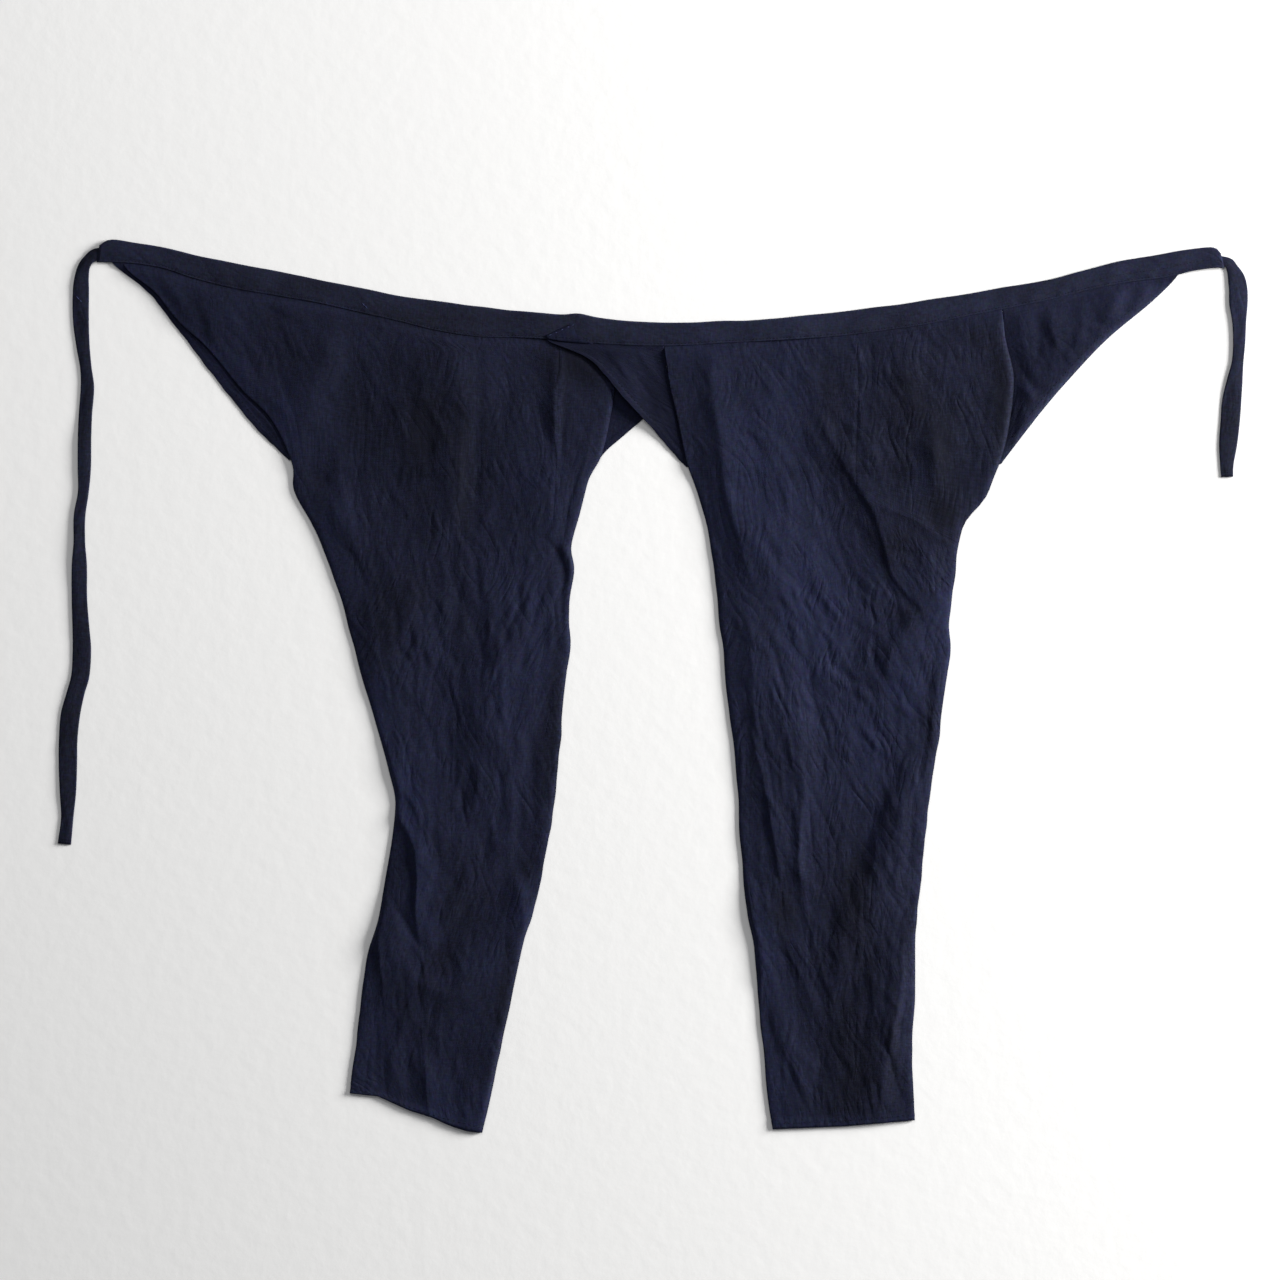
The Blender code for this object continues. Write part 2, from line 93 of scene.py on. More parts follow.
def smooth_line(stations, at):
    """The stations (one row of numbers each) joined smoothly, read at places counted in stations."""
    stations = np.asarray(stations, float)
    heading = np.gradient(stations, axis=0)
    k = np.clip(np.asarray(at).astype(int), 0, len(stations) - 2)
    t = (np.asarray(at) - k)[:, None]
    a, b, run_a, run_b = stations[k], stations[k + 1], heading[k], heading[k + 1]
    return (
        (2 * t**3 - 3 * t**2 + 1) * a
        + (t**3 - 2 * t**2 + t) * run_a
        + (3 * t**2 - 2 * t**3) * b
        + (t**3 - t**2) * run_b
    )


def fine_places(stations, step):
    """Places along the stations, counted in stations, at most step millimetres apart."""
    stations = np.asarray(stations, float)
    places = [np.zeros(1)]
    for k, run in enumerate(np.diff(stations, axis=0)):
        parts = max(1, math.ceil(np.hypot(*run) / step))
        places.append(k + np.arange(1, parts + 1) / parts)
    return np.concatenate(places)


def spread(length, from_start, from_end, parts):
    """Distances across each row: some near its start, parts even ones, and some near its end. A row
    that is too short for them has them closer together."""
    length = np.asarray(length, float)[:, None]
    start, end = np.array(from_start, float), np.array(from_end, float)
    squeeze = np.minimum(1, length / (start[-1] + end[0] + 1))
    first, last = start[-1] * squeeze, length - end[0] * squeeze
    even = first + (last - first) * np.linspace(0, 1, parts + 1)[None, 1:-1]
    return np.hstack([start * squeeze, even, length - end * squeeze])


# %% [markdown]
# ## Creases and crumpling
#
# Worn cotton that has been folded away and spread out again keeps two kinds of relief. The main
# creases are listed one by one, each as a line with a height and a width on either side: a narrow side
# is steep, a wide one fades out, and a negative height is a trough. A high fold doesn't stand up: it
# topples, so its crest moves sideways over its own foot. Between the main creases the cloth is
# crumpled, more in some places than in others, with many short creases that mostly run the way the
# cloth was pulled, on the broad uneven swells that the difference of two folded noise patterns gives.

# %% Relief
CRISP, SOFT = 1.05, 1.4  # the crest of a narrow and a broad crease, where 1 is sharp and 2 round


def beside_line(points, reach, x, y):
    """Which points lie near a line, and for those: how far from it they are, whether they are on its
    left, how far along it they are (0 to 1), and the direction to its left."""
    points = np.array(points, float).reshape(-1, 2)
    line = smooth_line(points, np.linspace(0, len(points) - 1, 8 * (len(points) - 1) + 1))
    low, high = line.min(axis=0) - reach, line.max(axis=0) + reach
    near = (x > low[0]) & (x < high[0]) & (y > low[1]) & (y < high[1])
    px, py = x[near], y[near]
    best = np.full(px.shape, 1e9)
    on_left, along = np.zeros(px.shape, bool), np.zeros_like(px)
    left_x, left_y = np.zeros_like(px), np.zeros_like(px)
    for k, ((ax, ay), (dx, dy)) in enumerate(zip(line, np.diff(line, axis=0))):
        t = np.clip(((px - ax) * dx + (py - ay) * dy) / (dx * dx + dy * dy), 0, 1)
        off_x, off_y = px - ax - t * dx, py - ay - t * dy
        distance = np.hypot(off_x, off_y)
        closer = distance < best
        best = np.where(closer, distance, best)
        on_left = np.where(closer, dx * off_y > dy * off_x, on_left)
        along = np.where(closer, (k + t) / (len(line) - 1), along)
        left_x = np.where(closer, -dy / math.hypot(dx, dy), left_x)
        left_y = np.where(closer, dx / math.hypot(dx, dy), left_y)
    return near, best, on_left, along, left_x, left_y


def crease_heights(creases, x, y):
    """Height of the creases at each point. A crease is its height, its width on the left and on the
    right of a line that runs down the picture (below and above one that runs to the right), and the
    line's points."""
    total = np.zeros_like(x)
    for height, left_width, right_width, *path in creases:
        reach = 2.4 * max(left_width, right_width)
        near, distance, on_left, along, _, _ = beside_line(path, reach, x, y)
        width = np.where(on_left, left_width, right_width)
        fade = np.sin(np.pi * (0.04 + 0.92 * along)) ** 0.7
        sharpness = CRISP + (SOFT - CRISP) * ease(min(left_width, right_width), 3, 12)
        total[near] += height * fade * np.exp(-((distance / width) ** sharpness))
    return total


def topple(folds, x, y):
    """How far each point moves along x and y where a high fold has toppled to its left. A fold is
    how far its crest moves, its width on its left and right, and its line's points."""
    shift_x, shift_y = np.zeros_like(x), np.zeros_like(x)
    for move, left_width, right_width, *path in folds:
        reach = 2.4 * max(left_width, right_width)
        near, distance, on_left, along, left_x, left_y = beside_line(path, reach, x, y)
        width = np.where(on_left, left_width, right_width)
        fade = np.sin(np.pi * (0.04 + 0.92 * along)) ** 0.8
        amount = move * fade * np.exp(-((distance / width) ** 2))
        shift_x[near] += amount * left_x
        shift_y[near] += amount * left_y
    return shift_x, shift_y


def small_creases(patches, seed):
    """The small creases of each patch as rows like the listed ones: short lines that mostly run one way,
    each with its own length, bend and depth. One side is steep and the other wide."""
    chance = np.random.default_rng(seed)
    creases = []
    for mid_x, mid_y, reach_x, reach_y, angle, swing, count, length, height in patches:
        for _ in range(count):
            x, y = chance.normal((mid_x, mid_y), (reach_x / 2, reach_y / 2))
            direction = math.radians(chance.normal(angle, swing))
            half = length * chance.uniform(0.25, 1.0)
            run_x, run_y = half * math.cos(direction), half * math.sin(direction)
            bend = chance.normal(0, 0.1) * 2
            widths = [chance.uniform(2.0, 3.0), chance.uniform(5.0, 14.0)]
            rises = chance.random() < 0.5
            size = height * chance.uniform(0.2, 0.6) * (1 if rises else -1)
            left_width, right_width = widths if rises else widths[::-1]
            creases.append((
                size, left_width, right_width, x - run_x, y - run_y,
                x - run_y * bend, y + run_x * bend, x + run_x, y + run_y,
            ))
    return creases


def noise_at(u, v, seed):
    """Blender's noise at each (u, v), with a finer octave on it."""
    values = [noise.fractal((a, b, seed), 1.0, 2.0, 2) for a, b in zip(u.flat, v.flat)]
    return np.array(values).reshape(u.shape)


def crumple_heights(patches, x, y):
    """Height of the crumpling. A patch is its middle, its reach along x and y, the direction that
    its creases run in (0 to the right, 90 down), their length and width, and their height."""
    total = np.zeros_like(x)
    for number, (mid_x, mid_y, reach_x, reach_y, angle, length, width, height) in enumerate(patches):
        weight = np.exp(-(((x - mid_x) / reach_x) ** 2) - ((y - mid_y) / reach_y) ** 2)
        near = weight > 0.04
        c, s = math.cos(math.radians(angle)), math.sin(math.radians(angle))
        u = (x[near] * c + y[near] * s) / length
        v = (y[near] * c - x[near] * s) / width
        v = v + 0.5 * noise_at(u * 0.7, v * 0.3, 40.5 + number)
        folded = np.abs(noise_at(u, v, 3.5 + number)) - np.abs(noise_at(u, v, 71.5 + number))
        total[near] += 0.3 * height * weight[near] * folded
    return total


def keep_above(value, least, softness):
    """The value, held softly above the least."""
    over = value - least
    return least + (over + np.sqrt(over * over + softness * softness)) / 2


# %% [markdown]
# ## From a grid to cloth
#
# Flat cloth is a grid, so each piece starts as Blender's own grid of the right number of cells. Its
# points are then moved to their places, like a net laid over a form. The UV map keeps how far apart
# the threads really are, so that the weave can follow the cloth over its folds. A Solidify modifier
# gives the thickness, and a vertex group says where the cloth is doubled, as at a hem, or pressed thin.
# The table of lighter and darker places is partly dye that has come off the cloth's high places and partly
# painted shade and painted highlight, set where the cloth lies in shade or catches the light.

# %% Uneven dye, painted shade and painted highlight
DYE_AND_PAINTED_LIGHT = (
    # middle_x, middle_y, reach_x, reach_y, how much lighter, or darker where negative: uneven dye, painted
    # shade and painted highlight
    (765, 470, 50, 130, 0.30), (800, 640, 60, 90, 0.22), (820, 600, 40, 80, 0.12),
    (935, 640, 30, 60, 0.25), (865, 745, 40, 50, 0.18), (910, 420, 75, 100, -0.32),
    (855, 1050, 44, 100, -0.32), (848, 900, 34, 60, -0.26), (425, 440, 60, 100, -0.28),
    (460, 450, 110, 110, -0.14), (480, 880, 60, 50, -0.16), (380, 620, 40, 60, -0.20),
    (520, 680, 40, 110, 0.12), (426, 890, 18, 66, 0.40), (450, 990, 60, 40, -0.16),
    (440, 1030, 100, 80, -0.08), (250, 350, 120, 90, -0.10), (1000, 380, 26, 70, -0.25),
    (1080, 340, 60, 50, -0.12), (948, 515, 18, 36, -0.30), (935, 450, 20, 40, -0.12),
    (668, 428, 12, 36, -0.52), (592, 378, 20, 28, -0.25), (932, 520, 22, 22, -0.25),
    (895, 548, 18, 20, -0.28), (1004, 410, 10, 50, -0.30), (828, 405, 15, 40, -0.28),
    (755, 370, 24, 28, -0.15), (463, 480, 10, 66, -0.25), (358, 415, 16, 40, -0.20),
    (404, 787, 12, 30, 0.55), (440, 958, 18, 18, -0.30), (783, 912, 14, 24, -0.55),
    (766, 952, 16, 40, 0.34), (852, 1070, 24, 60, -0.20), (858, 890, 18, 44, -0.28),
    (908, 930, 8, 50, -0.20), (640, 385, 30, 36, -0.10), (284, 424, 12, 30, 0.40),
    (250, 394, 10, 20, 0.20), (1016, 338, 9, 22, 0.40), (894, 1040, 7, 50, -0.25),
    (778, 1095, 16, 40, 0.25), (556, 710, 9, 90, -0.38), (504, 1004, 8, 34, -0.55),
    (455, 915, 28, 28, -0.22), (380, 715, 10, 40, 0.30), (378, 1025, 16, 30, 0.30),
    (440, 1095, 24, 20, 0.30), (541, 640, 12, 60, 0.20), (386, 625, 14, 36, -0.20),
    (462, 622, 12, 36, -0.25), (903, 690, 16, 26, 0.45), (872, 738, 14, 30, 0.35),
    (812, 622, 26, 70, 0.26), (768, 620, 12, 44, -0.28), (850, 455, 12, 46, -0.22),
    (908, 614, 14, 14, -0.38), (543, 752, 14, 50, -0.30), (482, 968, 28, 20, 0.30),
    (270, 443, 10, 16, -0.50), (810, 752, 16, 20, -0.22), (944, 610, 9, 20, 0.42),
    (320, 345, 40, 26, -0.14), (424, 425, 16, 30, -0.20), (300, 285, 90, 14, -0.16),
    (1120, 266, 70, 14, 0.16), (1236, 310, 20, 56, 0.30), (80, 530, 20, 50, 0.12),
    (72, 760, 20, 50, -0.08), (1008, 432, 8, 34, -0.35), (528, 470, 16, 20, 0.20),
    (444, 470, 12, 34, 0.22), (400, 856, 10, 30, -0.18), (410, 812, 10, 24, 0.30),
    (527, 866, 12, 12, -0.28), (520, 908, 9, 20, 0.50), (1124, 300, 7, 16, 0.60),
    (1148, 287, 7, 10, 0.55), (511, 965, 6, 30, -0.30), (562, 405, 9, 50, -0.22),
    (931, 730, 7, 50, -0.25), (905, 385, 14, 24, -0.15), (940, 445, 10, 24, -0.20),
    (922, 470, 8, 30, 0.25), (975, 338, 26, 16, -0.20), (1048, 390, 12, 16, -0.25),
    (312, 478, 16, 14, -0.22), (333, 528, 12, 26, 0.25), (222, 366, 22, 22, 0.35),
    (843, 1123, 90, 8, 0.30), (440, 1112, 60, 12, 0.25), (875, 838, 9, 20, 0.35),
    (440, 845, 12, 40, -0.20), (412, 590, 14, 20, -0.22), (1026, 396, 8, 14, 0.25),
    (980, 310, 240, 14, 0.15), (450, 318, 170, 12, -0.18), (652, 418, 26, 34, -0.34),
    (572, 360, 34, 20, -0.50),
)
CREASED = (
    # middle_x, middle_y, reach_x, reach_y, how much more the cloth is creased, or less
    (820, 650, 100, 120, 0.7), (870, 720, 60, 90, 0.4), (880, 900, 50, 150, 0.4),
    (460, 620, 90, 120, 0.3), (930, 420, 80, 110, 0.5), (300, 380, 130, 110, -0.4),
    (620, 370, 70, 70, -0.8), (1080, 340, 80, 70, -0.5), (650, 300, 700, 30, -0.5),
    (430, 1040, 90, 80, -0.3),
)


def spots_at(points, spots, usual):
    """The usual value at each point, changed softly round each spot."""
    x = points[..., 0] / MM + TABLE_MIDDLE[0]
    y = TABLE_MIDDLE[1] - points[..., 1] / MM
    value = np.full(x.shape, usual)
    for mid_x, mid_y, reach_x, reach_y, amount in spots:
        value += amount * np.exp(-(((x - mid_x) / reach_x) ** 2) - ((y - mid_y) / reach_y) ** 2)
    return value


print("faded and darker places:", len(DYE_AND_PAINTED_LIGHT))

# %% A grid laid over points


def weave_map(points, along_column):
    """How far each point is across and along the cloth, in metres."""
    across = np.cumsum(np.linalg.norm(np.diff(points, axis=1), axis=2), axis=1)
    across = np.hstack([np.zeros((len(points), 1)), across])
    across -= across[:, [along_column]]
    steps = np.linalg.norm(np.diff(points[:, along_column], axis=0), axis=1)
    along = np.concatenate([[0], np.cumsum(steps)])[:, None]
    return np.stack([across, np.broadcast_to(along, across.shape)], axis=-1)


def cloth_grid(points, along_column, values):
    """Blender's grid laid over the points (rows, columns, xyz), with its weave map. values gives the
    name of each attribute and its value at each point. Blender counts the rows from the last one."""
    rows, columns = points.shape[:2]
    grid = bmesh.new()
    bmesh.ops.create_grid(grid, x_segments=columns - 1, y_segments=rows - 1, size=1)
    grid.verts.ensure_lookup_table()
    grid.faces.ensure_lookup_table()
    uv_layer = grid.loops.layers.uv.new("weave")
    layers = [(grid.verts.layers.float.new(name), table[::-1].ravel()) for name, table in values.items()]
    spots = points[::-1].reshape(-1, 3)
    uvs = weave_map(points, along_column)[::-1].reshape(-1, 2)
    for number, vert in enumerate(grid.verts):
        vert.co = spots[number]
        for layer, table in layers:
            vert[layer] = table[number]
        for loop in vert.link_loops:
            loop[uv_layer].uv = uvs[number]
    for face in grid.faces:
        face.smooth = True
    return grid


def finish_piece(name, shape, material):
    """Turns a bmesh into an object of one material."""
    mesh = bpy.data.meshes.new(name)
    shape.to_mesh(mesh)
    shape.free()
    mesh.materials.append(material)
    piece = bpy.data.objects.new(name, mesh)
    bpy.context.scene.collection.objects.link(piece)
    print(f"{name}: {len(mesh.polygons)} faces")
    return piece


# %% A sheet of cloth
CLOTH_THICKNESS = 0.7  # millimetres


def make_cloth(name, points, keep, material, doubled=None, along_column=0, worn_and_highlit=None, paler_with_painted_shade=0.0):
    """A piece of cloth over the points. keep says which cells are cloth (all of them where it is None),
    doubled is 1 where the cloth is double and negative where it is thin, worn is 1 where an edge wears
    lighter and is painted lighter as a highlight, and paler is how much lighter the whole piece is, darker
    where negative as painted shade."""
    nowhere = np.zeros(points.shape[:2])
    # The spot table paints shade and highlight along with uneven dye, and the edge values paint a
    # highlight along with wear
    cloth = cloth_grid(points, along_column, {
        "worn_and_highlit": nowhere if worn_and_highlit is None else worn_and_highlit,
        "dye_and_painted_light": spots_at(points, DYE_AND_PAINTED_LIGHT, 0.5) + paler_with_painted_shade,
        "creased": spots_at(points, CREASED, 1.0),
    })
    layers = cloth.verts.layers.deform.new("layers")
    for vert, more in zip(cloth.verts, (nowhere if doubled is None else doubled)[::-1].ravel()):
        vert[layers][0] = 0.5 + 0.5 * more
    if keep is not None:
        spare = [face for face, kept in zip(cloth.faces, keep[::-1].ravel()) if not kept]
        bmesh.ops.delete(cloth, geom=spare, context="FACES")
    piece = finish_piece(name, cloth, material)
    piece.vertex_groups.new(name="layers")
    wall = piece.modifiers.new("wall", "SOLIDIFY")
    wall.thickness = 2 * CLOTH_THICKNESS * MM
    wall.offset = 0
    wall.vertex_group = "layers"
    wall.thickness_vertex_group = 0
    return piece


# %% [markdown]
# ## Materials
#
# The cloth is indigo-dyed cotton in plain weave, one thread over and one under. Indigo sits on the
# outside of the yarn, so the colour is never even: thick and thin stretches of yarn take it
# differently, folds and hems wear lighter, and the short fibres standing off the surface catch the
# light as a faint blue sheen. The lighter folds and hems are also a painted highlight, and spots of
# painted shade and painted highlight go into the dye. Real threads are about 0.4 mm apart, too fine
# for a picture of a garment more than a metre wide, so the weave is drawn at 1.2 mm and the yarn's
# uneven stretches at 2 by 7 mm.
#
# One helper adds a node with its settings and its links and gives its output, one feeds the sockets of
# a node, and another turns a hex colour into the linear values that shaders work in.

# %% Node and colour helpers


def colour(hex_value):
    """An sRGB hex colour as linear red, green, blue and alpha."""
    channels = [int(hex_value[k : k + 2], 16) / 255 for k in (1, 3, 5)]
    linear = [c / 12.92 if c <= 0.04045 else ((c + 0.055) / 1.055) ** 2.4 for c in channels]
    return (*linear, 1)


def connect(material, node, sockets):
    """Feeds each of a node's sockets from another node's output, or gives it a value of its own."""
    for socket, source in sockets.items():
        if isinstance(source, bpy.types.NodeSocket):
            material.node_tree.links.new(source, node.inputs[socket])
        else:
            node.inputs[socket].default_value = source


def add_node(material, kind, sockets=None, output=0, **settings):
    """Adds a shader node of a kind and gives one of its outputs, by number or name. sockets are what
    feeds it, and settings are the node's own properties."""
    node = material.node_tree.nodes.new("ShaderNode" + kind)
    for name, value in settings.items():
        setattr(node, name, value)
    connect(material, node, sockets or {})
    return node.outputs[output]


def new_material(name):
    """An empty node material, and its Principled shader."""
    material = bpy.data.materials.new(name)
    material.use_nodes = True
    return material, material.node_tree.nodes["Principled BSDF"]


def band_scale(spacing):
    """The scale that sets a wave texture's bands this far apart, in metres. At a scale of 1 there are
    20 bands in 2 pi metres."""
    return 2 * math.pi / spacing / 20


# %% Indigo cotton
WEAVE_SPACING = 1.2e-3
YARN_STRETCHES = ((620, 150, 1), (150, 620, 1))  # thick and thin places per metre, across and along
CREASING = (
    # turned by (radians), size across and along in metres, depth in metres
    (-0.5, (0.013, 0.070), 0.0022),
    (0.1, (0.010, 0.050), 0.0018),
    (-0.2, (0.005, 0.016), 0.0006),
)


def indigo_cotton(name, deep, pale, worn_highlight_blue, sheen):
    """Plain weave cotton dyed with indigo. deep and pale are the deepest and the palest dye, and
    worn_highlight_blue is the colour where an edge wears lighter, which also paints a highlight there."""
    material, shader = new_material(name)
    add = partial(add_node, material)
    weave = add("UVMap", uv_map="weave")
    position = add("TexCoord", output="Object")
    # The spots and the edge values carry painted shade and painted highlight along with the dye and the
    # wear
    dye_and_painted_light, worn_and_highlit, creased = (
        add("Attribute", output="Fac", attribute_name=kept) for kept in ("dye_and_painted_light", "worn_and_highlit", "creased")
    )
    # Thick and thin yarn: noise drawn out along the warp, and again along the weft
    yarns = []
    for stretch in YARN_STRETCHES:
        mapped = add("Mapping", {"Vector": weave, "Scale": stretch})
        yarns.append(add("TexNoise", {"Vector": mapped, "Scale": 1.0, "Detail": 2.0}))
    both_yarns = add("Math", {0: yarns[0], 1: yarns[1]}, operation="ADD")
    # Clouds of uneven dye, about 6 cm across and finer ones
    cloud = add("TexNoise", {"Vector": position, "Scale": 17.0, "Detail": 5.0, "Roughness": 0.62})
    tone = add("Math", {0: cloud, 1: 0.9, 2: both_yarns}, operation="MULTIPLY_ADD")
    shade = add("MapRange", {"Value": tone, "From Min": 1.05, "From Max": 1.85})
    unevenness = add("Math", {0: shade, 1: 0.6, 2: -0.3}, operation="MULTIPLY_ADD")
    # Random dye tone, plus the spots of painted shade and painted highlight
    paleness_with_painted_light = add("Math", {0: dye_and_painted_light, 1: unevenness}, operation="ADD", use_clamp=True)
    dyes = {"Factor": paleness_with_painted_light, "A": colour(deep), "B": colour(pale)}
    dyed = add("Mix", dyes, "Result", data_type="RGBA")
    # Edges that wear lighter, painted lighter as a highlight as well
    rubbing_and_highlight = add("Math", {0: worn_and_highlit, 1: shade}, operation="MULTIPLY")
    rubbed_and_highlit = add("Mix", {"Factor": rubbing_and_highlight, "A": dyed, "B": colour(worn_highlight_blue)}, "Result", data_type="RGBA")
    # Single yarns took the dye redder or greener than their neighbours
    hues = add("TexNoise", {"Vector": position, "Scale": 260.0, "Detail": 4.0, "Roughness": 0.75}, "Color")
    mixing = {"Factor": 0.8, "A": rubbed_and_highlit, "B": hues}
    dyed_yarns = add("Mix", mixing, "Result", data_type="RGBA", blend_type="OVERLAY")
    # The weave itself: two sets of threads that stand up in turn
    threads = []
    for direction in ("X", "Y"):
        bands = {"Vector": weave, "Scale": band_scale(WEAVE_SPACING), "Distortion": 1.2, "Detail": 1.0}
        threads.append(add("TexWave", bands, "Fac", bands_direction=direction))
    threads_up = add("Math", {0: threads[0], 1: threads[1]}, operation="MULTIPLY")
    surface = add("Bump", {"Height": threads_up, "Strength": 0.5, "Distance": 0.0002})
    surface = add("Bump", {"Height": both_yarns, "Strength": 0.25, "Distance": 0.0003, "Normal": surface})
    # Small sharp creases, finer than the mesh: drawn-out noise that is folded at its middle value
    bending = add("TexNoise", {"Vector": weave, "Scale": 18.0, "Detail": 1.0}, "Color")
    bent = add("VectorMath", {0: bending, 1: (0.02, 0.02, 0.0), 2: weave}, operation="MULTIPLY_ADD")
    for turn, size, depth in CREASING:
        where = add("TexNoise", {"Vector": position, "Scale": 0.3 / size[0], "Detail": 1.0})
        in_places = add("MapRange", {"Value": where, "From Min": 0.38, "From Max": 0.62, "To Min": 0.1})
        drawing = {"Vector": bent, "Rotation": (0, 0, turn), "Scale": (*size, 1)}
        drawn_out = add("Mapping", drawing, vector_type="TEXTURE")
        soft = add("TexNoise", {"Vector": drawn_out, "Scale": 1.0, "Detail": 1.5, "Roughness": 0.4})
        middle = add("Math", {0: soft, 1: 0.5}, operation="SUBTRACT")
        folded = add("Math", {0: middle}, operation="ABSOLUTE")
        amount = add("Math", {0: in_places, 1: creased}, operation="MULTIPLY")
        height = add("Math", {0: folded, 1: amount}, operation="MULTIPLY")
        surface = add("Bump", {"Height": height, "Strength": 1.0, "Distance": depth, "Normal": surface})
    connect(material, shader, {
        "Base Color": dyed_yarns,
        "Roughness": add("MapRange", {"Value": shade, "To Min": 0.92, "To Max": 0.8}),
        "Normal": surface,
        "IOR": 1.46,
        "Specular IOR Level": 0.15,
        "Sheen Weight": sheen,
        "Sheen Roughness": 0.45,
        "Sheen Tint": colour("#8f97d8"),
    })
    return material


# The third colour of each is the lighter edge colour: wear with a painted highlight
leg_cotton = indigo_cotton("indigo_cotton_legs", "#090b19", "#1b1f37", "#262a43", 0.02)
wing_cotton = indigo_cotton("indigo_cotton_wings", "#070a1d", "#1b1e34", "#25293e", 0.02)
waist_cotton = indigo_cotton("indigo_cotton_waist", "#0f101a", "#1f233a", "#292d46", 0.03)
print("cloth materials:", [m.name for m in (leg_cotton, wing_cotton, waist_cotton)])

# %% Sewing thread
TWIST_SPACING = 0.8e-3


def thread(name, pale, dark):
    """Spun cotton thread. Its twist shows as fine slanting bands."""
    material, shader = new_material(name)
    add = partial(add_node, material)
    position = add("TexCoord", output="Object")
    bands = {"Vector": position, "Scale": band_scale(TWIST_SPACING), "Distortion": 2.0}
    twist = add("TexWave", bands, "Fac", bands_direction="DIAGONAL")
    tones = {"Factor": twist, "A": colour(dark), "B": colour(pale)}
    connect(material, shader, {
        "Base Color": add("Mix", tones, "Result", data_type="RGBA"),
        "Normal": add("Bump", {"Height": twist, "Strength": 0.5, "Distance": 0.0002}),
        "Roughness": 0.9,
        "Specular IOR Level": 0.1,
    })
    return material


indigo_thread = thread("indigo_sewing_thread", "#10121f", "#0b0c15")
tacking_thread = thread("pale_tacking_thread", "#4a5177", "#33385a")
print("thread materials:", indigo_thread.name, tacking_thread.name)

# %% [markdown]
# ## Measured edges
#
# These tables follow the garment from the waistband down. Each row crosses a leg: its folded edge on
# the plain side, its seam, and its folded edge on the side with the small panel.

# %% Tables of edges
WAISTBAND = (
    # top_x, top_y, seam_x, seam_y
    (100, 245, 97, 262), (112, 239.5, 112, 262.5), (140, 243.5, 136, 264), (170, 249, 165, 269),
    (200, 256, 195, 279), (240, 264, 236, 289), (280, 272, 277, 296), (320, 280, 317, 303),
    (360, 288, 357, 312), (400, 296, 397, 321), (440, 301.5, 438, 331), (480, 306.5, 479, 337),
    (520, 311, 519, 338), (560, 314, 560, 340), (578, 313.5, 580, 342), (600, 318, 600, 344),
    (640, 321.5, 641, 346), (680, 322.5, 681, 346), (720, 321.5, 721, 343.5), (760, 319.5, 761, 341.5),
    (800, 316, 802, 339), (840, 312, 842, 336), (880, 307, 883, 331), (920, 301, 924, 325),
    (960, 294.5, 964, 317), (1000, 288, 1005, 309), (1040, 281, 1045, 301), (1080, 271.5, 1085, 291),
    (1120, 261, 1125, 283), (1160, 254, 1164, 278), (1190, 249, 1193, 271), (1213, 247, 1214, 268),
    (1220, 252.5, 1224, 268),
)
RIGHT_LEG = (
    # plain_x, plain_y, seam_x, seam_y, panel_x, panel_y
    (667, 374, 857, 362, 1006, 341), (673, 400, 858, 388, 1013, 372), (679, 428, 857, 416, 1012, 402),
    (684, 450, 856, 442, 1007, 436), (688, 467, 856, 464, 998, 466), (697, 493, 857, 474, 986, 497),
    (705, 520, 857, 483, 966, 521), (709, 543, 857, 492, 959, 544), (713, 567, 856, 532, 955.5, 574),
    (716, 592, 853, 573, 952.5, 593), (719, 620, 850, 612, 949.5, 620), (723, 650, 840, 650, 950, 650),
    (725.5, 682, 836, 682, 946.5, 682), (729, 714, 835, 714, 942.5, 712), (733.5, 746, 834, 745, 938, 743),
    (736, 776, 833, 774, 933, 773), (738, 804, 832, 802, 929, 802), (739, 833, 832, 832, 926, 830),
    (742, 862, 832, 860, 924, 858), (744, 890, 833, 888, 921, 886), (748, 918, 833, 916, 917, 912),
    (753, 945, 834, 943, 915, 942), (755.5, 972, 836, 970, 915, 968), (758, 1000, 837, 998, 915, 996),
    (761, 1030, 838, 1027, 913.5, 1024), (764, 1060, 839, 1056, 912.5, 1052),
    (766.5, 1088, 840, 1084, 913, 1080), (769.5, 1110, 842, 1107, 914, 1103),
    (773, 1129, 844, 1126, 915, 1120),
)
LEFT_LEG = (
    # plain_x, plain_y, seam_x, seam_y, panel_x, panel_y
    (150, 286, 559, 361, 616, 363), (177, 320, 558, 385, 615, 385), (207, 347, 557, 408, 612, 408),
    (241, 388, 556, 430, 608, 430), (271, 419, 556, 446, 604, 446), (292, 462, 556, 463, 600, 458),
    (293.5, 490, 555, 488, 589.5, 479), (310, 521, 553, 520, 580, 513), (322, 548, 551, 546, 572, 545),
    (333, 577, 545, 572, 574.5, 569), (344, 609, 535, 607, 569, 606), (352, 640, 525, 640, 570.5, 640),
    (360.5, 672, 515, 672, 567, 672), (370, 704, 508, 704, 564, 703), (379, 735, 503, 735, 561, 735),
    (388, 768, 500, 767, 558, 766), (394.5, 799, 497, 798, 555, 798), (393, 830, 493, 830, 550.5, 830),
    (388, 862, 488, 860, 545.5, 860), (383, 892, 483, 889, 540, 887), (378, 920, 477, 916, 533, 912),
    (368, 950, 468, 945, 524, 940), (363, 980, 461, 973, 517, 971), (360, 1008, 456, 1003, 511, 1001),
    (357, 1036, 451, 1033, 505, 1031), (353, 1062, 446, 1064, 498.5, 1061),
    (351, 1080, 443, 1094, 491.5, 1093), (350, 1093, 444, 1123.5, 483, 1132.5),
)
RIGHT_BACK_HEM = ((590, 360), (621, 395), (654, 431), (673, 453), (686, 467))
RIGHT_FRONT_HEM = ((1152, 301), (1107, 339), (1068, 380), (1038, 415), (1001, 464))
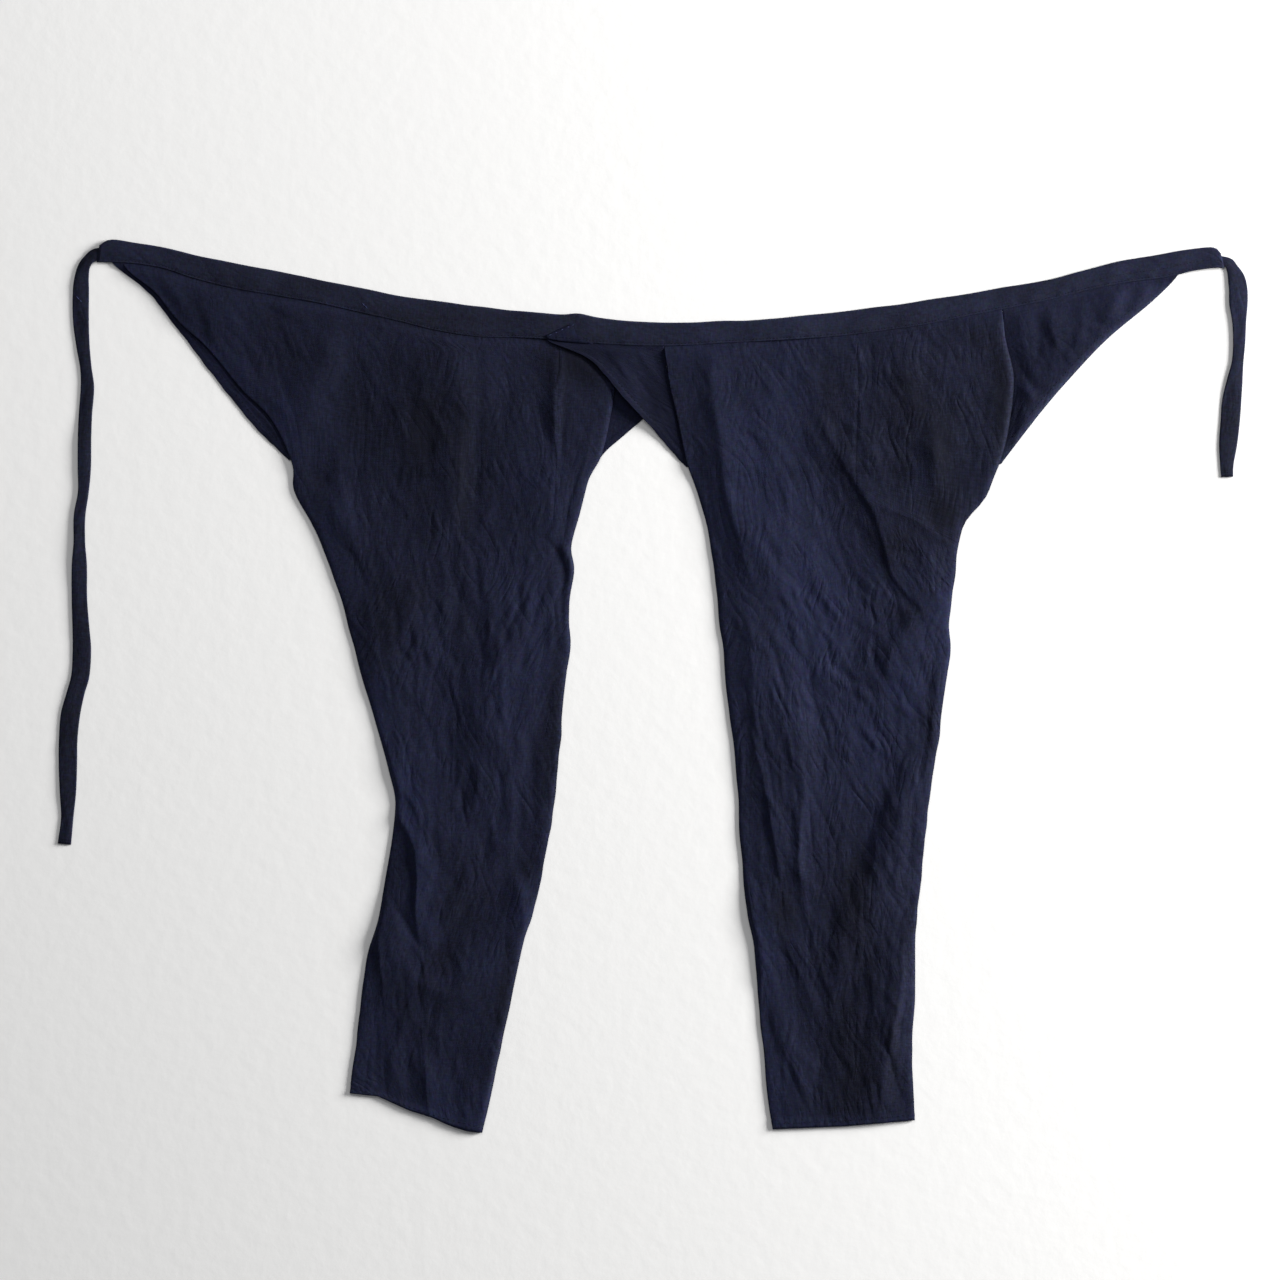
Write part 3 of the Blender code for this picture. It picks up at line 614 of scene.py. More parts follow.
LEFT_BACK_HEM = ((700, 370), (672, 394), (643, 419), (621, 438), (608, 449), (601, 457))
LEFT_FRONT_HEM = ((147, 291), (170, 319), (193, 349), (228, 394), (256, 428), (289, 460))
# x of the plain edge, the seam and the panel edge, inside the waistband and just below its edge
RIGHT_WAIST = ((661, 856, 1001), (663, 856, 1003))
LEFT_WAIST = ((120, 557, 614), (122, 558, 615))
print("rows measured:", len(WAISTBAND), len(RIGHT_LEG), len(LEFT_LEG))

# %% [markdown]
# ## The creases of each piece
#
# Each line was placed to match the real cloth under light from the right: a ridge is dark on its
# left and light on its right, and a trough the other way round. The steep one that crosses the right
# leg from the hip is a fold of loose cloth that has toppled over.

# %% Broad folds of the right leg
RIGHT_FOLDS = (
    # height, left_width, right_width, then the points of the line
    (1.9, 3, 30, 811, 404, 824, 429, 840, 458, 859, 487, 873, 509, 885, 538, 893, 570, 901, 586,
     917, 602, 929, 617),
    (2.4, 20, 36, 813, 404, 842, 458, 868, 500, 886, 545, 894, 578),
    (1.6, 4, 12, 666, 350, 671, 376, 678, 404),
    (3.6, 10, 24, 704, 350, 713, 390, 719, 440, 727, 490, 739, 540, 750, 575),
    (4.0, 26, 18, 746, 518, 762, 556, 777, 600),
    (2.8, 26, 36, 764, 440, 775, 490, 782, 545, 792, 606),
    (-1.2, 40, 18, 806, 440, 820, 490, 836, 540, 858, 600),
    (3.4, 10, 46, 924, 604, 900, 635, 886, 665, 880, 697),
    (-2.8, 46, 12, 902, 748, 887, 785, 870, 828, 856, 868, 843, 905),
    (1.6, 6, 14, 899, 684, 900, 720, 898, 764),
    (4.6, 22, 20, 916, 768, 905, 800, 888, 850, 877, 890, 871, 934),
    (2.2, 9, 5, 940, 662, 936, 700, 931, 740, 927, 784),
    (6.4, 40, 11, 907, 916, 904, 955, 898, 1000, 891, 1040, 882, 1080, 878, 1124),
    (-1.6, 30, 16, 880, 935, 862, 970, 840, 1010, 828, 1050, 820, 1120),
    (2.8, 18, 42, 750, 600, 754, 650, 758, 700, 762, 742),
    (3.4, 5, 24, 752, 728, 766, 795, 775, 845, 781, 886),
    (-1.6, 30, 9, 784, 915, 788, 960, 798, 1000, 812, 1045, 821, 1094),
    (5.4, 4, 24, 740, 884, 745, 935, 750, 992),
    (3.4, 28, 22, 848, 884, 843, 940, 838, 992),
    (4.2, 28, 14, 789, 690, 799, 750, 806, 806),
    (2.0, 6, 5, 799, 800, 799, 845, 801, 886),
    (2.0, 9, 16, 772, 1010, 787, 1052, 800, 1080, 812, 1112),
    (4.6, 42, 30, 905, 338, 912, 395, 930, 445, 942, 506),
    (2.6, 40, 5, 1003, 318, 1010, 372, 1008, 420, 992, 484),
    (2.6, 26, 8, 934, 412, 934, 455, 936, 498),
    (1.8, 6, 10, 860, 395, 863, 440, 869, 484),
    (1.8, 6, 7, 870, 499, 898, 513, 925, 528, 952, 547),
    (1.6, 16, 4, 966, 498, 955, 526, 953, 560),
    (2.8, 26, 14, 924, 545, 930, 566, 942, 590),
)
print("broad folds of the right leg:", len(RIGHT_FOLDS))

# %% Creases on the right leg and hip panel
RIGHT_CREASES = (
    # the same columns as for the folds
    (-1, 7, 2.2, 756, 700, 760, 724, 766, 752, 772, 790),
    (-1.1, 4, 6, 762, 638, 775, 655, 779, 680, 780, 722),
    (0.7, 2.2, 7, 775, 668, 779, 690, 780, 712),
    (-0.8, 7, 2.2, 781, 562, 790, 577, 799, 588, 809, 596),
    (-0.9, 7, 2.2, 778, 588, 786, 618, 794, 648, 803, 668),
    (-0.8, 7, 2.2, 804, 598, 814, 620, 826, 644, 834, 668),
    (-1.3, 7, 2.2, 800, 652, 808, 674, 814, 700, 821, 724, 831, 748),
    (-0.8, 7, 2.2, 821, 735, 824, 762, 822, 788),
    (-1.4, 7, 2.2, 824, 658, 838, 666, 852, 676, 870, 688),
    (0.9, 2.2, 7, 832, 672, 852, 688, 872, 700),
    (-0.8, 7, 2.2, 826, 676, 840, 684, 850, 702, 855, 720),
    (-0.8, 7, 2.2, 844, 698, 852, 718, 866, 740, 884, 758, 908, 778),
    (0.8, 2.2, 7, 855, 718, 868, 736, 882, 752, 898, 768),
    (-0.8, 7, 2.2, 838, 600, 850, 618, 866, 632, 888, 644),
    (-0.8, 7, 2.2, 856, 586, 864, 606, 878, 622, 892, 628),
    (-0.7, 7, 2.2, 828, 556, 842, 578, 850, 602),
    (-0.6, 7, 2.2, 890, 592, 890, 620, 887, 650, 882, 690),
    (-1.7, 6, 8, 934, 645, 928, 690, 926, 740, 922, 786),
    (-1.2, 7, 2.2, 909, 776, 913, 800, 912, 830, 909, 872),
    (-1.5, 7, 2.2, 920, 902, 908, 906, 900, 918),
    (1.7, 8, 5, 901, 996, 896, 1020, 892, 1046),
    (-1.4, 7, 2.2, 907, 992, 902, 1024, 900, 1052),
    (-1.7, 7, 2.2, 879, 1026, 888, 1050, 893, 1070, 899, 1090, 907, 1106),
    (-1.2, 7, 2.2, 875, 1080, 880, 1100, 890, 1112, 900, 1119),
    (-1.5, 6, 5, 741, 858, 751, 872, 762, 888),
    (-1.5, 9, 8, 760, 990, 768, 1025, 777, 1058, 784, 1080),
    (-0.8, 7, 2.2, 800, 958, 808, 974, 816, 990, 824, 1006),
    (-0.8, 7, 2.2, 811, 962, 822, 984, 832, 1004, 838, 1020),
    (-0.7, 7, 2.2, 786, 1062, 792, 1080, 802, 1100),
    (-1.4, 11, 10, 832, 896, 828, 940, 834, 990),
    (1.2, 8, 8, 804, 776, 800, 835, 804, 892),
    (-1, 7, 2.2, 805, 756, 808, 800, 812, 846, 816, 884),
    (-0.9, 7, 2.2, 808, 770, 815, 798, 825, 820, 838, 846),
    (-0.8, 7, 2.2, 786, 738, 790, 770, 800, 806),
    (-0.9, 7, 2.2, 884, 546, 904, 551, 928, 556),
    (-0.8, 7, 2.2, 892, 562, 910, 571, 926, 582),
    (-0.9, 7, 2.2, 866, 342, 878, 362, 888, 384, 898, 408),
    (-0.6, 7, 2.2, 857, 374, 870, 382, 888, 386),
    (-0.8, 7, 2.2, 903, 332, 920, 345, 948, 352),
    (-0.8, 7, 2.2, 922, 366, 934, 384, 944, 398),
    (-0.8, 7, 2.2, 898, 398, 908, 428, 915, 462),
    (-1, 7, 2.2, 912, 455, 926, 480, 934, 520, 942, 540),
    (1.2, 10, 12, 868, 420, 874, 455, 880, 490),
    (-1, 14, 14, 915, 350, 925, 400, 915, 445),
    (-0.9, 7, 2.2, 842, 340, 852, 350, 855, 366),
    (-1, 14, 10, 832, 370, 842, 400, 850, 440),
    (-0.8, 7, 2.2, 688, 350, 700, 358, 714, 364),
    (-0.7, 7, 2.2, 731, 385, 744, 404, 762, 420),
    (-0.7, 7, 2.2, 745, 425, 760, 450, 772, 480),
)
print("creases on the right leg:", len(RIGHT_CREASES))

# %% Broad folds of the left leg
LEFT_FOLDS = (
    # height, left_width, right_width, then the points of the line
    (3.6, 4, 24, 390, 796, 402, 822, 415, 848, 418, 870, 418, 892, 417, 915, 421, 950),
    (3.6, 30, 22, 340, 314, 325, 360, 312, 395, 303, 425),
    (2.4, 8, 22, 199, 280, 205, 310, 217, 342),
    (5.0, 72, 28, 440, 318, 456, 355, 464, 395, 464, 425),
    (3.4, 60, 9, 465, 415, 463, 455, 457, 500, 441, 545),
    (-2.4, 30, 44, 362, 330, 345, 390, 341, 440, 362, 520),
    (2.4, 14, 24, 320, 474, 338, 515, 360, 556),
    (-2.4, 8, 9, 310, 436, 315, 462, 322, 490),
    (3.0, 46, 40, 549, 372, 546, 430, 545, 480, 549, 534),
    (2.0, 5, 14, 554, 358, 553, 400, 552, 446),
    (2.6, 20, 12, 550, 340, 578, 352, 602, 374, 622, 396),
    (3.4, 32, 30, 416, 578, 403, 620, 400, 660, 398, 706),
    (-2.4, 42, 15, 474, 610, 454, 680, 449, 740, 451, 796),
    (3.8, 26, 50, 508, 592, 500, 650, 490, 700, 484, 760, 492, 796),
    (-1.4, 22, 9, 553, 660, 546, 710, 536, 760, 532, 826),
    (4.0, 4, 26, 377, 732, 386, 768, 392, 802),
    (-2.0, 5, 6, 394, 904, 404, 920, 414, 938, 426, 952),
    (4.4, 5, 24, 371, 892, 376, 930, 381, 975),
    (3.4, 22, 12, 404, 960, 416, 978, 437, 990, 466, 998),
    (-4.0, 9, 28, 534, 846, 499, 883, 462, 920, 430, 955),
    (3.8, 12, 10, 514, 870, 521, 893, 524, 915, 516, 952),
    (2.4, 18, 34, 470, 922, 465, 965, 460, 1010),
    (5.0, 14, 4.5, 506, 1006, 502, 1031, 495, 1061, 488, 1093, 479, 1136),
    (2.8, 6, 22, 424, 1058, 426, 1090, 430, 1120),
    (-1.6, 16, 6, 379, 1012, 376, 1060, 381, 1100),
)
print("broad folds of the left leg:", len(LEFT_FOLDS))

# %% Creases on the left leg and seat panel
LEFT_CREASES = (
    # the same columns as for the folds
    (-1.5, 9, 9, 206, 300, 203, 332, 212, 358),
    (-1.1, 7, 2.2, 149, 270, 160, 288, 172, 304, 184, 322),
    (1, 5, 6, 160, 272, 174, 290, 186, 306),
    (-1, 7, 2.2, 256, 293, 270, 308, 285, 317, 304, 325),
    (-0.8, 7, 2.2, 238, 336, 248, 356, 260, 378),
    (-0.7, 7, 2.2, 232, 372, 242, 386, 254, 402),
    (-1.5, 7, 5, 327, 436, 323, 464, 331, 494),
    (1.4, 9, 9, 336, 462, 346, 500, 354, 545),
    (-1.2, 8, 8, 353, 404, 357, 440, 355, 476),
    (-1.2, 9, 8, 482, 400, 475, 470, 479, 545),
    (-0.8, 6, 6, 508, 470, 520, 500, 516, 530),
    (-1.5, 6, 4, 536, 398, 544, 422, 552, 446),
    (1.7, 2.2, 7, 560, 362, 556, 400, 555, 430, 556, 462),
    (-1.7, 7, 2.2, 566, 402, 563, 430, 560, 462),
    (-1, 7, 2.2, 583, 462, 571, 500, 561, 545),
    (1.1, 6, 5, 592, 420, 588, 450, 580, 480),
    (-3.4, 7, 2.2, 549, 542, 558, 555, 564, 574, 563, 600, 563, 640),
    (2.2, 2.2, 7, 560, 545, 569, 562, 571, 585),
    (0.8, 9, 6, 543, 560, 553, 590, 556, 622),
    (-1, 7, 2.2, 535, 573, 525, 600, 517, 632),
    (-0.9, 7, 2.2, 546, 583, 538, 608, 528, 640),
    (-0.8, 7, 2.2, 424, 578, 430, 602, 422, 626, 428, 654),
    (-0.8, 7, 2.2, 403, 646, 412, 668, 419, 694),
    (-0.8, 7, 2.2, 394, 628, 400, 655, 397, 682),
    (-0.8, 7, 2.2, 407, 678, 416, 700, 418, 720),
    (-0.8, 7, 2.2, 404, 744, 410, 770, 412, 790),
    (-1.5, 7, 2.2, 498, 772, 503, 800, 499, 836),
    (-1, 7, 2.2, 523, 790, 521, 820, 516, 856),
    (-0.8, 7, 2.2, 470, 775, 465, 800, 468, 836),
    (0.9, 2.2, 7, 512, 785, 511, 815, 506, 850),
    (-0.8, 7, 2.2, 492, 757, 500, 775, 503, 790),
    (-0.9, 7, 2.2, 475, 886, 472, 930, 470, 970),
    (-0.7, 7, 2.2, 371, 1036, 368, 1062, 366, 1092),
    (-0.7, 7, 2.2, 385, 1040, 384, 1072, 389, 1098),
    (-0.9, 10, 10, 404, 1030, 408, 1070, 414, 1106),
    (-0.8, 7, 2.2, 424, 952, 419, 985, 426, 1020),
    (-0.8, 7, 2.2, 340, 545, 356, 560, 368, 590),
    (-0.8, 7, 2.2, 402, 500, 410, 530, 402, 556),
    (-0.8, 7, 2.2, 468, 560, 460, 590, 466, 612),
)
print("creases on the left leg:", len(LEFT_CREASES))

# %% Crumpled patches
RIGHT_SWELLS = (
    # middle_x, middle_y, reach_x, reach_y, angle, length, width, height
    (800, 450, 190, 190, 62, 60, 24, 3.0),
    (920, 400, 110, 110, 40, 42, 22, 3.0),
    (850, 650, 90, 110, 58, 60, 19, 4.6),
    (800, 820, 70, 150, 80, 80, 20, 3.6),
    (900, 880, 50, 160, 96, 46, 17, 3.6),
    (840, 1040, 110, 110, 74, 56, 20, 3.2),
)
RIGHT_SMALL = (
    # middle_x, middle_y, reach_x, reach_y, angle, swing, count, length, height
    (770, 440, 110, 150, 66, 14, 40, 42, 1.0),
    (925, 400, 90, 110, 52, 34, 40, 30, 1.2),
    (800, 600, 110, 90, 60, 10, 40, 50, 1.2),
    (860, 690, 110, 110, 50, 16, 50, 46, 1.4),
    (780, 800, 80, 180, 77, 9, 46, 56, 1.2),
    (890, 850, 60, 240, 98, 16, 46, 40, 1.4),
    (830, 1010, 110, 150, 74, 16, 50, 44, 1.2),
    (850, 1090, 110, 50, 80, 20, 24, 26, 1.0),
)
LEFT_SWELLS = (
    # the same columns as on the right
    (250, 370, 120, 120, 58, 54, 22, 2.6),
    (440, 430, 160, 130, 84, 66, 26, 3.2),
    (430, 650, 90, 120, 80, 54, 20, 4.0),
    (520, 640, 60, 130, 100, 60, 20, 3.2),
    (470, 830, 90, 110, 92, 54, 20, 3.2),
    (430, 1020, 90, 120, 88, 60, 22, 2.4),
)
LEFT_SMALL = (
    # the same columns as on the right
    (240, 350, 120, 90, 52, 24, 34, 34, 1.0),
    (370, 430, 140, 160, 80, 26, 40, 36, 1.0),
    (500, 430, 110, 160, 94, 16, 34, 40, 1.0),
    (420, 640, 80, 160, 80, 12, 56, 40, 1.3),
    (530, 620, 50, 130, 106, 12, 30, 42, 1.3),
    (500, 800, 80, 110, 94, 12, 44, 40, 1.2),
    (430, 880, 70, 110, 80, 26, 30, 30, 1.2),
    (420, 1040, 110, 110, 88, 20, 44, 34, 1.0),
)
RIGHT_TOPPLED = ((2.2, 4, 14, *RIGHT_FOLDS[0][3:]),)
LEFT_TOPPLED = ((1.4, 5, 14, *LEFT_FOLDS[0][3:]),)
print("small creases:", sum(row[6] for row in RIGHT_SMALL + LEFT_SMALL))

# %% [markdown]
# ## A leg
#
# A leg laid flat is a tube pressed together: an upper layer, a rounded fold at each side, and an under
# layer that meets in the inseam. Towards the waist the under layer opens in a slit, and the folds
# carry on under the waistband. One grid covers it all: its rows run round the tube and its columns
# down the leg. The small panel is cut out of the same grid, so the two pieces follow each other exactly
# at their seams, with only a hair's breadth between them.

# %% Heights of the layers
LAYER = 1.3  # from the middle of one layer of cloth to the middle of the next
ON_TABLE = 0.5  # the middle of the layer that rests on the table
FOLD_INSET = 1.15  # from a folded edge in to where the cloth lies level
FOLD_OUT = 0.65  # from there out to the middle of the cloth at the fold
LAP = 12.0  # how far a folded edge turns under, and a wing reaches below it
SEAM_GAP = 0.06  # between two pieces at their seam
BILLOW = 1.6  # how far loose cloth stands above flat cloth
EDGE_ROUND = 1.6  # how soon, in from a fold, the creases reach their height
EDGE_SLOPE = 24.0  # how far in from a folded edge the cloth still rises
WAIST_TUCK = 13.0  # how far the legs and wings reach into the waistband
BAND_DROP = (-WAIST_TUCK, 1.0)  # how far below the waistband's edge the first two rows lie
BELOW_BAND = 26.0  # from one measured row to the next near the waistband
HEM_RAISE = 0.35  # how much the turned cloth of a hem raises it
PANEL_ROW = 9  # the measured row at the lower end of the let-in panels
CROTCH_ROW = 12  # the measured row where the slit of the under layer ends
CELL = 3.0  # the largest cell of the grids, down the cloth

band_line = smooth_line(WAISTBAND, fine_places(np.array(WAISTBAND)[:, 2:], 4))


def band_edge(x):
    """y of the waistband's lower edge at x."""
    return np.interp(x, band_line[:, 2], band_line[:, 3])


def left_wing_below(x, y):
    """1 where the left back wing lies under the right leg, fading to 0 past its hem."""
    hem_y = 344 + (735 - x) * 0.85
    return 1 - ease(y - hem_y, 0, 34)


def right_lift(x, y):
    """How far the left back wing lifts the right leg."""
    return (LAYER + 0.3) * left_wing_below(x, y)


def no_lift(x, y=0.0):
    """For what lies on the table itself."""
    return 0.0 * x


def right_over_left(x):
    """Inside the waistband the right leg lies over the left one, as far as x = 740."""
    return LAYER * (1 - ease(x, 740, 775))


def under_right_wing(x, y):
    """1 where the right back wing lies on the left leg."""
    hem = [(543, 337), (560, 343), (580, 350), (600, 368), (620, 392), (643, 418)]
    hem_y = np.interp(x, [p[0] for p in hem], [p[1] for p in hem])
    return ease(x, 528, 545) * (1 - ease(y - hem_y, -2, 12))


def uneven(values, size, amount, seed):
    """A slow natural unevenness along an edge, in millimetres."""
    return amount * np.array([noise.noise((v / size, seed, 0.5)) for v in values])


# %% Rows and columns of a leg
NEAR_EDGE = (FOLD_INSET, 2.0, 3.2, 5.0, 7.5)  # columns beside a folded edge
NEAR_SEAM = (4.5, 2.4, 0.9, 0.25, SEAM_GAP / 2)  # columns beside a seam
ACROSS_UNDER = (0, 0.02, 0.06, 0.12, 0.2, 0.3, 0.42, 0.55, 0.68, 0.82, 0.95, 1.0)
FOLD_ANGLES = (-55, -20, 20, 55)


def with_waist(rows, waist_x):
    """Measured rows of a leg, with two above them: inside the waistband and just below its edge."""
    waist = [[v for x in waist_x[k] for v in (x, band_edge(x) + BAND_DROP[k])] for k in (0, 1)]
    return np.array(waist + [list(row) for row in rows], float)


def rows_of_leg(stations):
    """Places down a leg, in stations, closer together at the panel's lower seam, and the number of
    the row just above that seam."""
    seam = stations[:, 2:4]
    at = fine_places(seam, CELL)
    half_gap = SEAM_GAP / 2 / np.hypot(*(seam[PANEL_ROW + 1] - seam[PANEL_ROW]))
    beside = PANEL_ROW + half_gap * np.array([-8, -1, 1, 8])
    at = np.sort(np.concatenate([at[np.abs(at - PANEL_ROW) > 1e-6], beside]))
    return at, int(np.searchsorted(at, PANEL_ROW)) - 1


def across_leg(plain, seam, panel, parts):
    """The upper layer, from the plain edge to the seam and on to the panel edge: each point's x and y,
    how far it is from its folded edge and from the seam, and the seam's column."""
    halves = []
    for edge, cells in ((plain, parts[0]), (panel, parts[1])):
        length = np.linalg.norm(seam - edge, axis=1)
        distance = spread(length, NEAR_EDGE, NEAR_SEAM, cells)
        share = (distance / length[:, None])[..., None]
        xy = edge[:, None] * (1 - share) + seam[:, None] * share
        halves.append(np.dstack([xy, distance, length[:, None] - distance]))
    whole = np.hstack([halves[0], halves[1][:, ::-1]])
    return (*np.moveaxis(whole, 2, 0), halves[0].shape[1] - 1)


def under_end(at, edge, inward, junction, crotch, hem_middle, hand):
    """Where one side's under layer ends: lapped under the folded edge at first, then along the slit
    down to the crotch, and then along the inseam to the hem."""
    row = at[:, None]
    start = edge[np.searchsorted(at, junction)]
    lead = start + (crotch - start) / np.linalg.norm(crotch - start) * LAP
    slit = lead + (crotch - lead) * np.clip((row - junction) / (CROTCH_ROW - junction), 0, 1)
    inseam = crotch + (hem_middle - crotch) * np.clip((row - CROTCH_ROW) / (at[-1] - CROTCH_ROW), 0, 1)
    slit = np.where(row < CROTCH_ROW, slit, inseam) + np.array([hand * SEAM_GAP / 2, 0])
    onto_slit = ease(row, junction - 0.4, junction + 0.4)
    return (edge + inward * LAP) * (1 - onto_slit) + slit * onto_slit


def fold_under(at, edge, inward, end, above, at_hem, bend, lift, upper_z, hand):
    """One side of a leg below its upper layer: its under layer as far as end, and the round of its
    folded edge up to upper_z."""
    level = edge + inward * FOLD_INSET
    share = np.array(ACROSS_UNDER)[None, :, None]
    xy = level[:, None] * (1 - share) + end[:, None] * share
    xy[..., 1] += np.interp(xy[..., 0], *bend) * at_hem
    x, y = xy[..., 0], xy[..., 1]
    reach = np.linalg.norm(xy - edge[:, None], axis=-1)
    hidden = 1.6 * np.abs(noise_at(x / 30, y / 44, 5.5 + hand)) * (1 - np.exp(-reach / 14))
    hidden = hidden * (1 - above) * (0.3 + 0.7 * ease(reach, 4, 20))
    z = ON_TABLE + LAYER * above + lift(x, y) + hidden
    middle, half = (z[:, 0] + upper_z) / 2, (upper_z - z[:, 0]) / 2
    turn = []
    for angle in np.radians(FOLD_ANGLES):
        rim = level - inward * (math.cos(angle) * FOLD_OUT)
        turn.append(np.column_stack([rim, middle + half * math.sin(angle)]))
    return np.stack([x, y, z], axis=-1), np.stack(turn, axis=1)


# %% The grid of a leg


def lay_leg(rows, waist_x, junction, crotch, parts, relief_tables, lift, waist_lift, pressed, hem_bend):
    """The points of a leg and what each is. junction is the measured row where the wings end and the
    slit begins, and crotch is where it ends. parts is how many even cells there are on the leg's plain
    and its panel side, pressed is 1 where something lies on the leg, and hem_bend is how far the hem
    strays from straight at some x."""
    creases, toppled, swells = relief_tables
    stations = with_waist(rows, waist_x)
    last = len(stations) - 1
    at, split_row = rows_of_leg(stations)
    row = at[:, None]
    edges = smooth_line(stations, at)
    plain, seam, panel = edges[:, 0:2].copy(), edges[:, 2:4], edges[:, 4:6].copy()
    below_waist = ease(at, 2.0, 3.0)
    plain[:, 0] += uneven(plain[:, 1], 24, 1.1, 2.5) * below_waist
    panel[:, 0] += uneven(panel[:, 1], 21, 1.3, 7.5) * below_waist
    x, y, from_edge, from_seam, seam_column = across_leg(plain, seam, panel, parts)
    to_band = 1 - ease(row, 1.0, 2.6)
    on_band = band_edge(x) + np.interp(row, (0, 1), BAND_DROP) + np.maximum(0, row - 1) * BELOW_BAND
    y = y * (1 - to_band) + on_band * to_band
    bend, at_hem = np.array(hem_bend, float).T, ease(row, last - 2.5, last)
    y = y + np.interp(x, *bend) * at_hem

    # The creases, which fade out towards the waistband, the hem and the folded edges
    above = 1 - ease(row, junction, junction + 0.8)
    free = 1 - np.exp(-np.maximum(0, y - band_edge(x) - 1) / 12)
    free = free * (1 - 0.5 * ease(row, last - 1.2, last))
    on_panel_side = np.arange(x.shape[1])[None] > seam_column
    rise = ease(from_edge, 0, EDGE_SLOPE)
    over_wing = np.where(on_panel_side, 1.0, 0.3 + 0.7 * rise)
    inside = 1 - np.exp(-(from_edge - FOLD_INSET) / EDGE_ROUND)
    inside = inside * (above * over_wing + (1 - above) * (0.7 + 0.3 * rise))
    wobble_x = x + 1.8 * noise_at(x / 45, y / 45, 11.5)
    wobble_y = y + 1.8 * noise_at(x / 45, y / 45, 23.5)
    relief = BILLOW + crease_heights(creases, wobble_x, wobble_y) + crumple_heights(swells, x, y)
    relief = relief * (1 - 0.85 * pressed(x, y))
    shift_x, shift_y = topple(toppled, wobble_x, wobble_y)
    x, y = x + shift_x * inside, y + shift_y * inside
    relief = keep_above(relief * free * inside, 0.0, 0.5) - 0.25

    # The seams: a fine groove with a low ridge beside it
    panel_rows = (row < PANEL_ROW) * ease(row, 1.0, 1.4)
    ridge = np.exp(-(((from_seam - 3) / 2) ** 2)) * panel_rows
    run = np.concatenate([[0], np.cumsum(np.hypot(*np.diff(seam, axis=0).T))])
    from_panel = (run - np.interp(PANEL_ROW, at, run))[:, None]
    beside_seam = np.exp(-((from_seam / 1.5) ** 2)) * panel_rows
    under_panel = np.exp(-((from_panel / 1.5) ** 2)) * on_panel_side
    groove = np.maximum(0.18 * beside_seam, 0.08 * under_panel) - 0.15 * ridge
    z = ON_TABLE + LAYER * above + LAYER + lift(x, y) + relief - groove
    in_band = 1 - ease(row, 1.0, 1.3)
    z = z * (1 - in_band) + (ON_TABLE + LAYER + waist_lift(x)) * in_band
    upper = np.stack([x, y, z], axis=-1)

    # The folds and the under layer on each side
    crotch, hem_middle = np.array(crotch, float), (plain[-1] + panel[-1]) / 2
    sides = []
    for edge, upper_z, hand in ((plain, z[:, 0], -1), (panel, z[:, -1], 1)):
        inward = (seam - edge) / np.linalg.norm(seam - edge, axis=1)[:, None]
        end = under_end(at, edge, inward, junction, crotch, hem_middle, hand)
        sides.append(fold_under(at, edge, inward, end, above, at_hem, bend, lift, upper_z, hand))
    (plain_under, plain_turn), (panel_under, panel_turn) = sides
    grid = np.hstack([plain_under[:, ::-1], plain_turn, upper, panel_turn[:, ::-1], panel_under])

    # What each cell belongs to, and what each point is like
    first_upper = plain_under.shape[1] + plain_turn.shape[1]
    split_column = first_upper + seam_column
    columns = grid.shape[1]
    r, c = np.arange(len(at) - 1)[:, None], np.arange(columns - 1)[None]
    only_upper = (c >= first_upper) & (c < first_upper + x.shape[1] - 1)
    cloth = (row[:-1] >= 2) | only_upper
    in_panel = (r < split_row) & (c > split_column)
    gap = ((r < split_row) & (c == split_column)) | ((r == split_row) & (c >= split_column))
    near_seams = (r < split_row + 3) & (abs(c - split_column) < 4)
    near_seams = near_seams | ((abs(r - split_row) < 4) & (c > split_column - 4))
    hem = (1 - ease(run[-1] - run, 8.0, 9.0))[:, None] * np.ones((1, columns))
    # Edges, the seam's ridge and the hem wear lighter, and are painted lighter as a highlight too
    worn_and_highlit = np.zeros((len(at), columns))
    worn_and_highlit[:, first_upper : first_upper + x.shape[1]] = np.clip(
        0.7 * np.exp(-(from_edge / 3.5)) + 0.3 * ridge + 0.5 * ease(row, last - 0.25, last), 0, 1
    )
    return {
        "points": place(grid[..., 0], grid[..., 1], grid[..., 2] + HEM_RAISE * hem),
        "leg": cloth & ~in_panel & ~gap,
        "panel": cloth & in_panel,
        "allowance": only_upper & near_seams,
        "doubled": 0.4 * hem,
        "worn_and_highlit": worn_and_highlit,
        "column": split_column,
    }


# %% The cloth of a leg
ALLOWANCE_BELOW = 0.62  # how far the turned-in edges of a seam lie below it
ALLOWANCE_THIN = -0.45  # they are thinner than the cloth, so that they stay hidden
pieces = {}  # the cloth that stands for each CAD node


def make_leg(leg_name, panel_name, leg):
    """The cloth of a leg and of its panel, and the turned-in edges that close their seams from below."""
    points, doubled, column, worn_and_highlit = (leg[key] for key in ("points", "doubled", "column", "worn_and_highlit"))
    for name, part in ((leg_name, "leg"), (panel_name, "panel")):
        pieces[name] = make_cloth(name + "_cloth", points, leg[part], leg_cotton, doubled, column, worn_and_highlit)
    below = points - np.array([0, 0, ALLOWANCE_BELOW * MM])
    thin = np.full(doubled.shape, ALLOWANCE_THIN)
    name = leg_name.replace("leg", "seam_allowance_cloth")
    return make_cloth(name, below, leg["allowance"], leg_cotton, thin, column)


# %% The right leg and its hip panel


def beside_back_wing(x, y):
    """1 along the right leg's folded edge, where it lies flat on its own back wing."""
    return (1 - ease(x, 684, 712)) * (1 - ease(y, 440, 490))


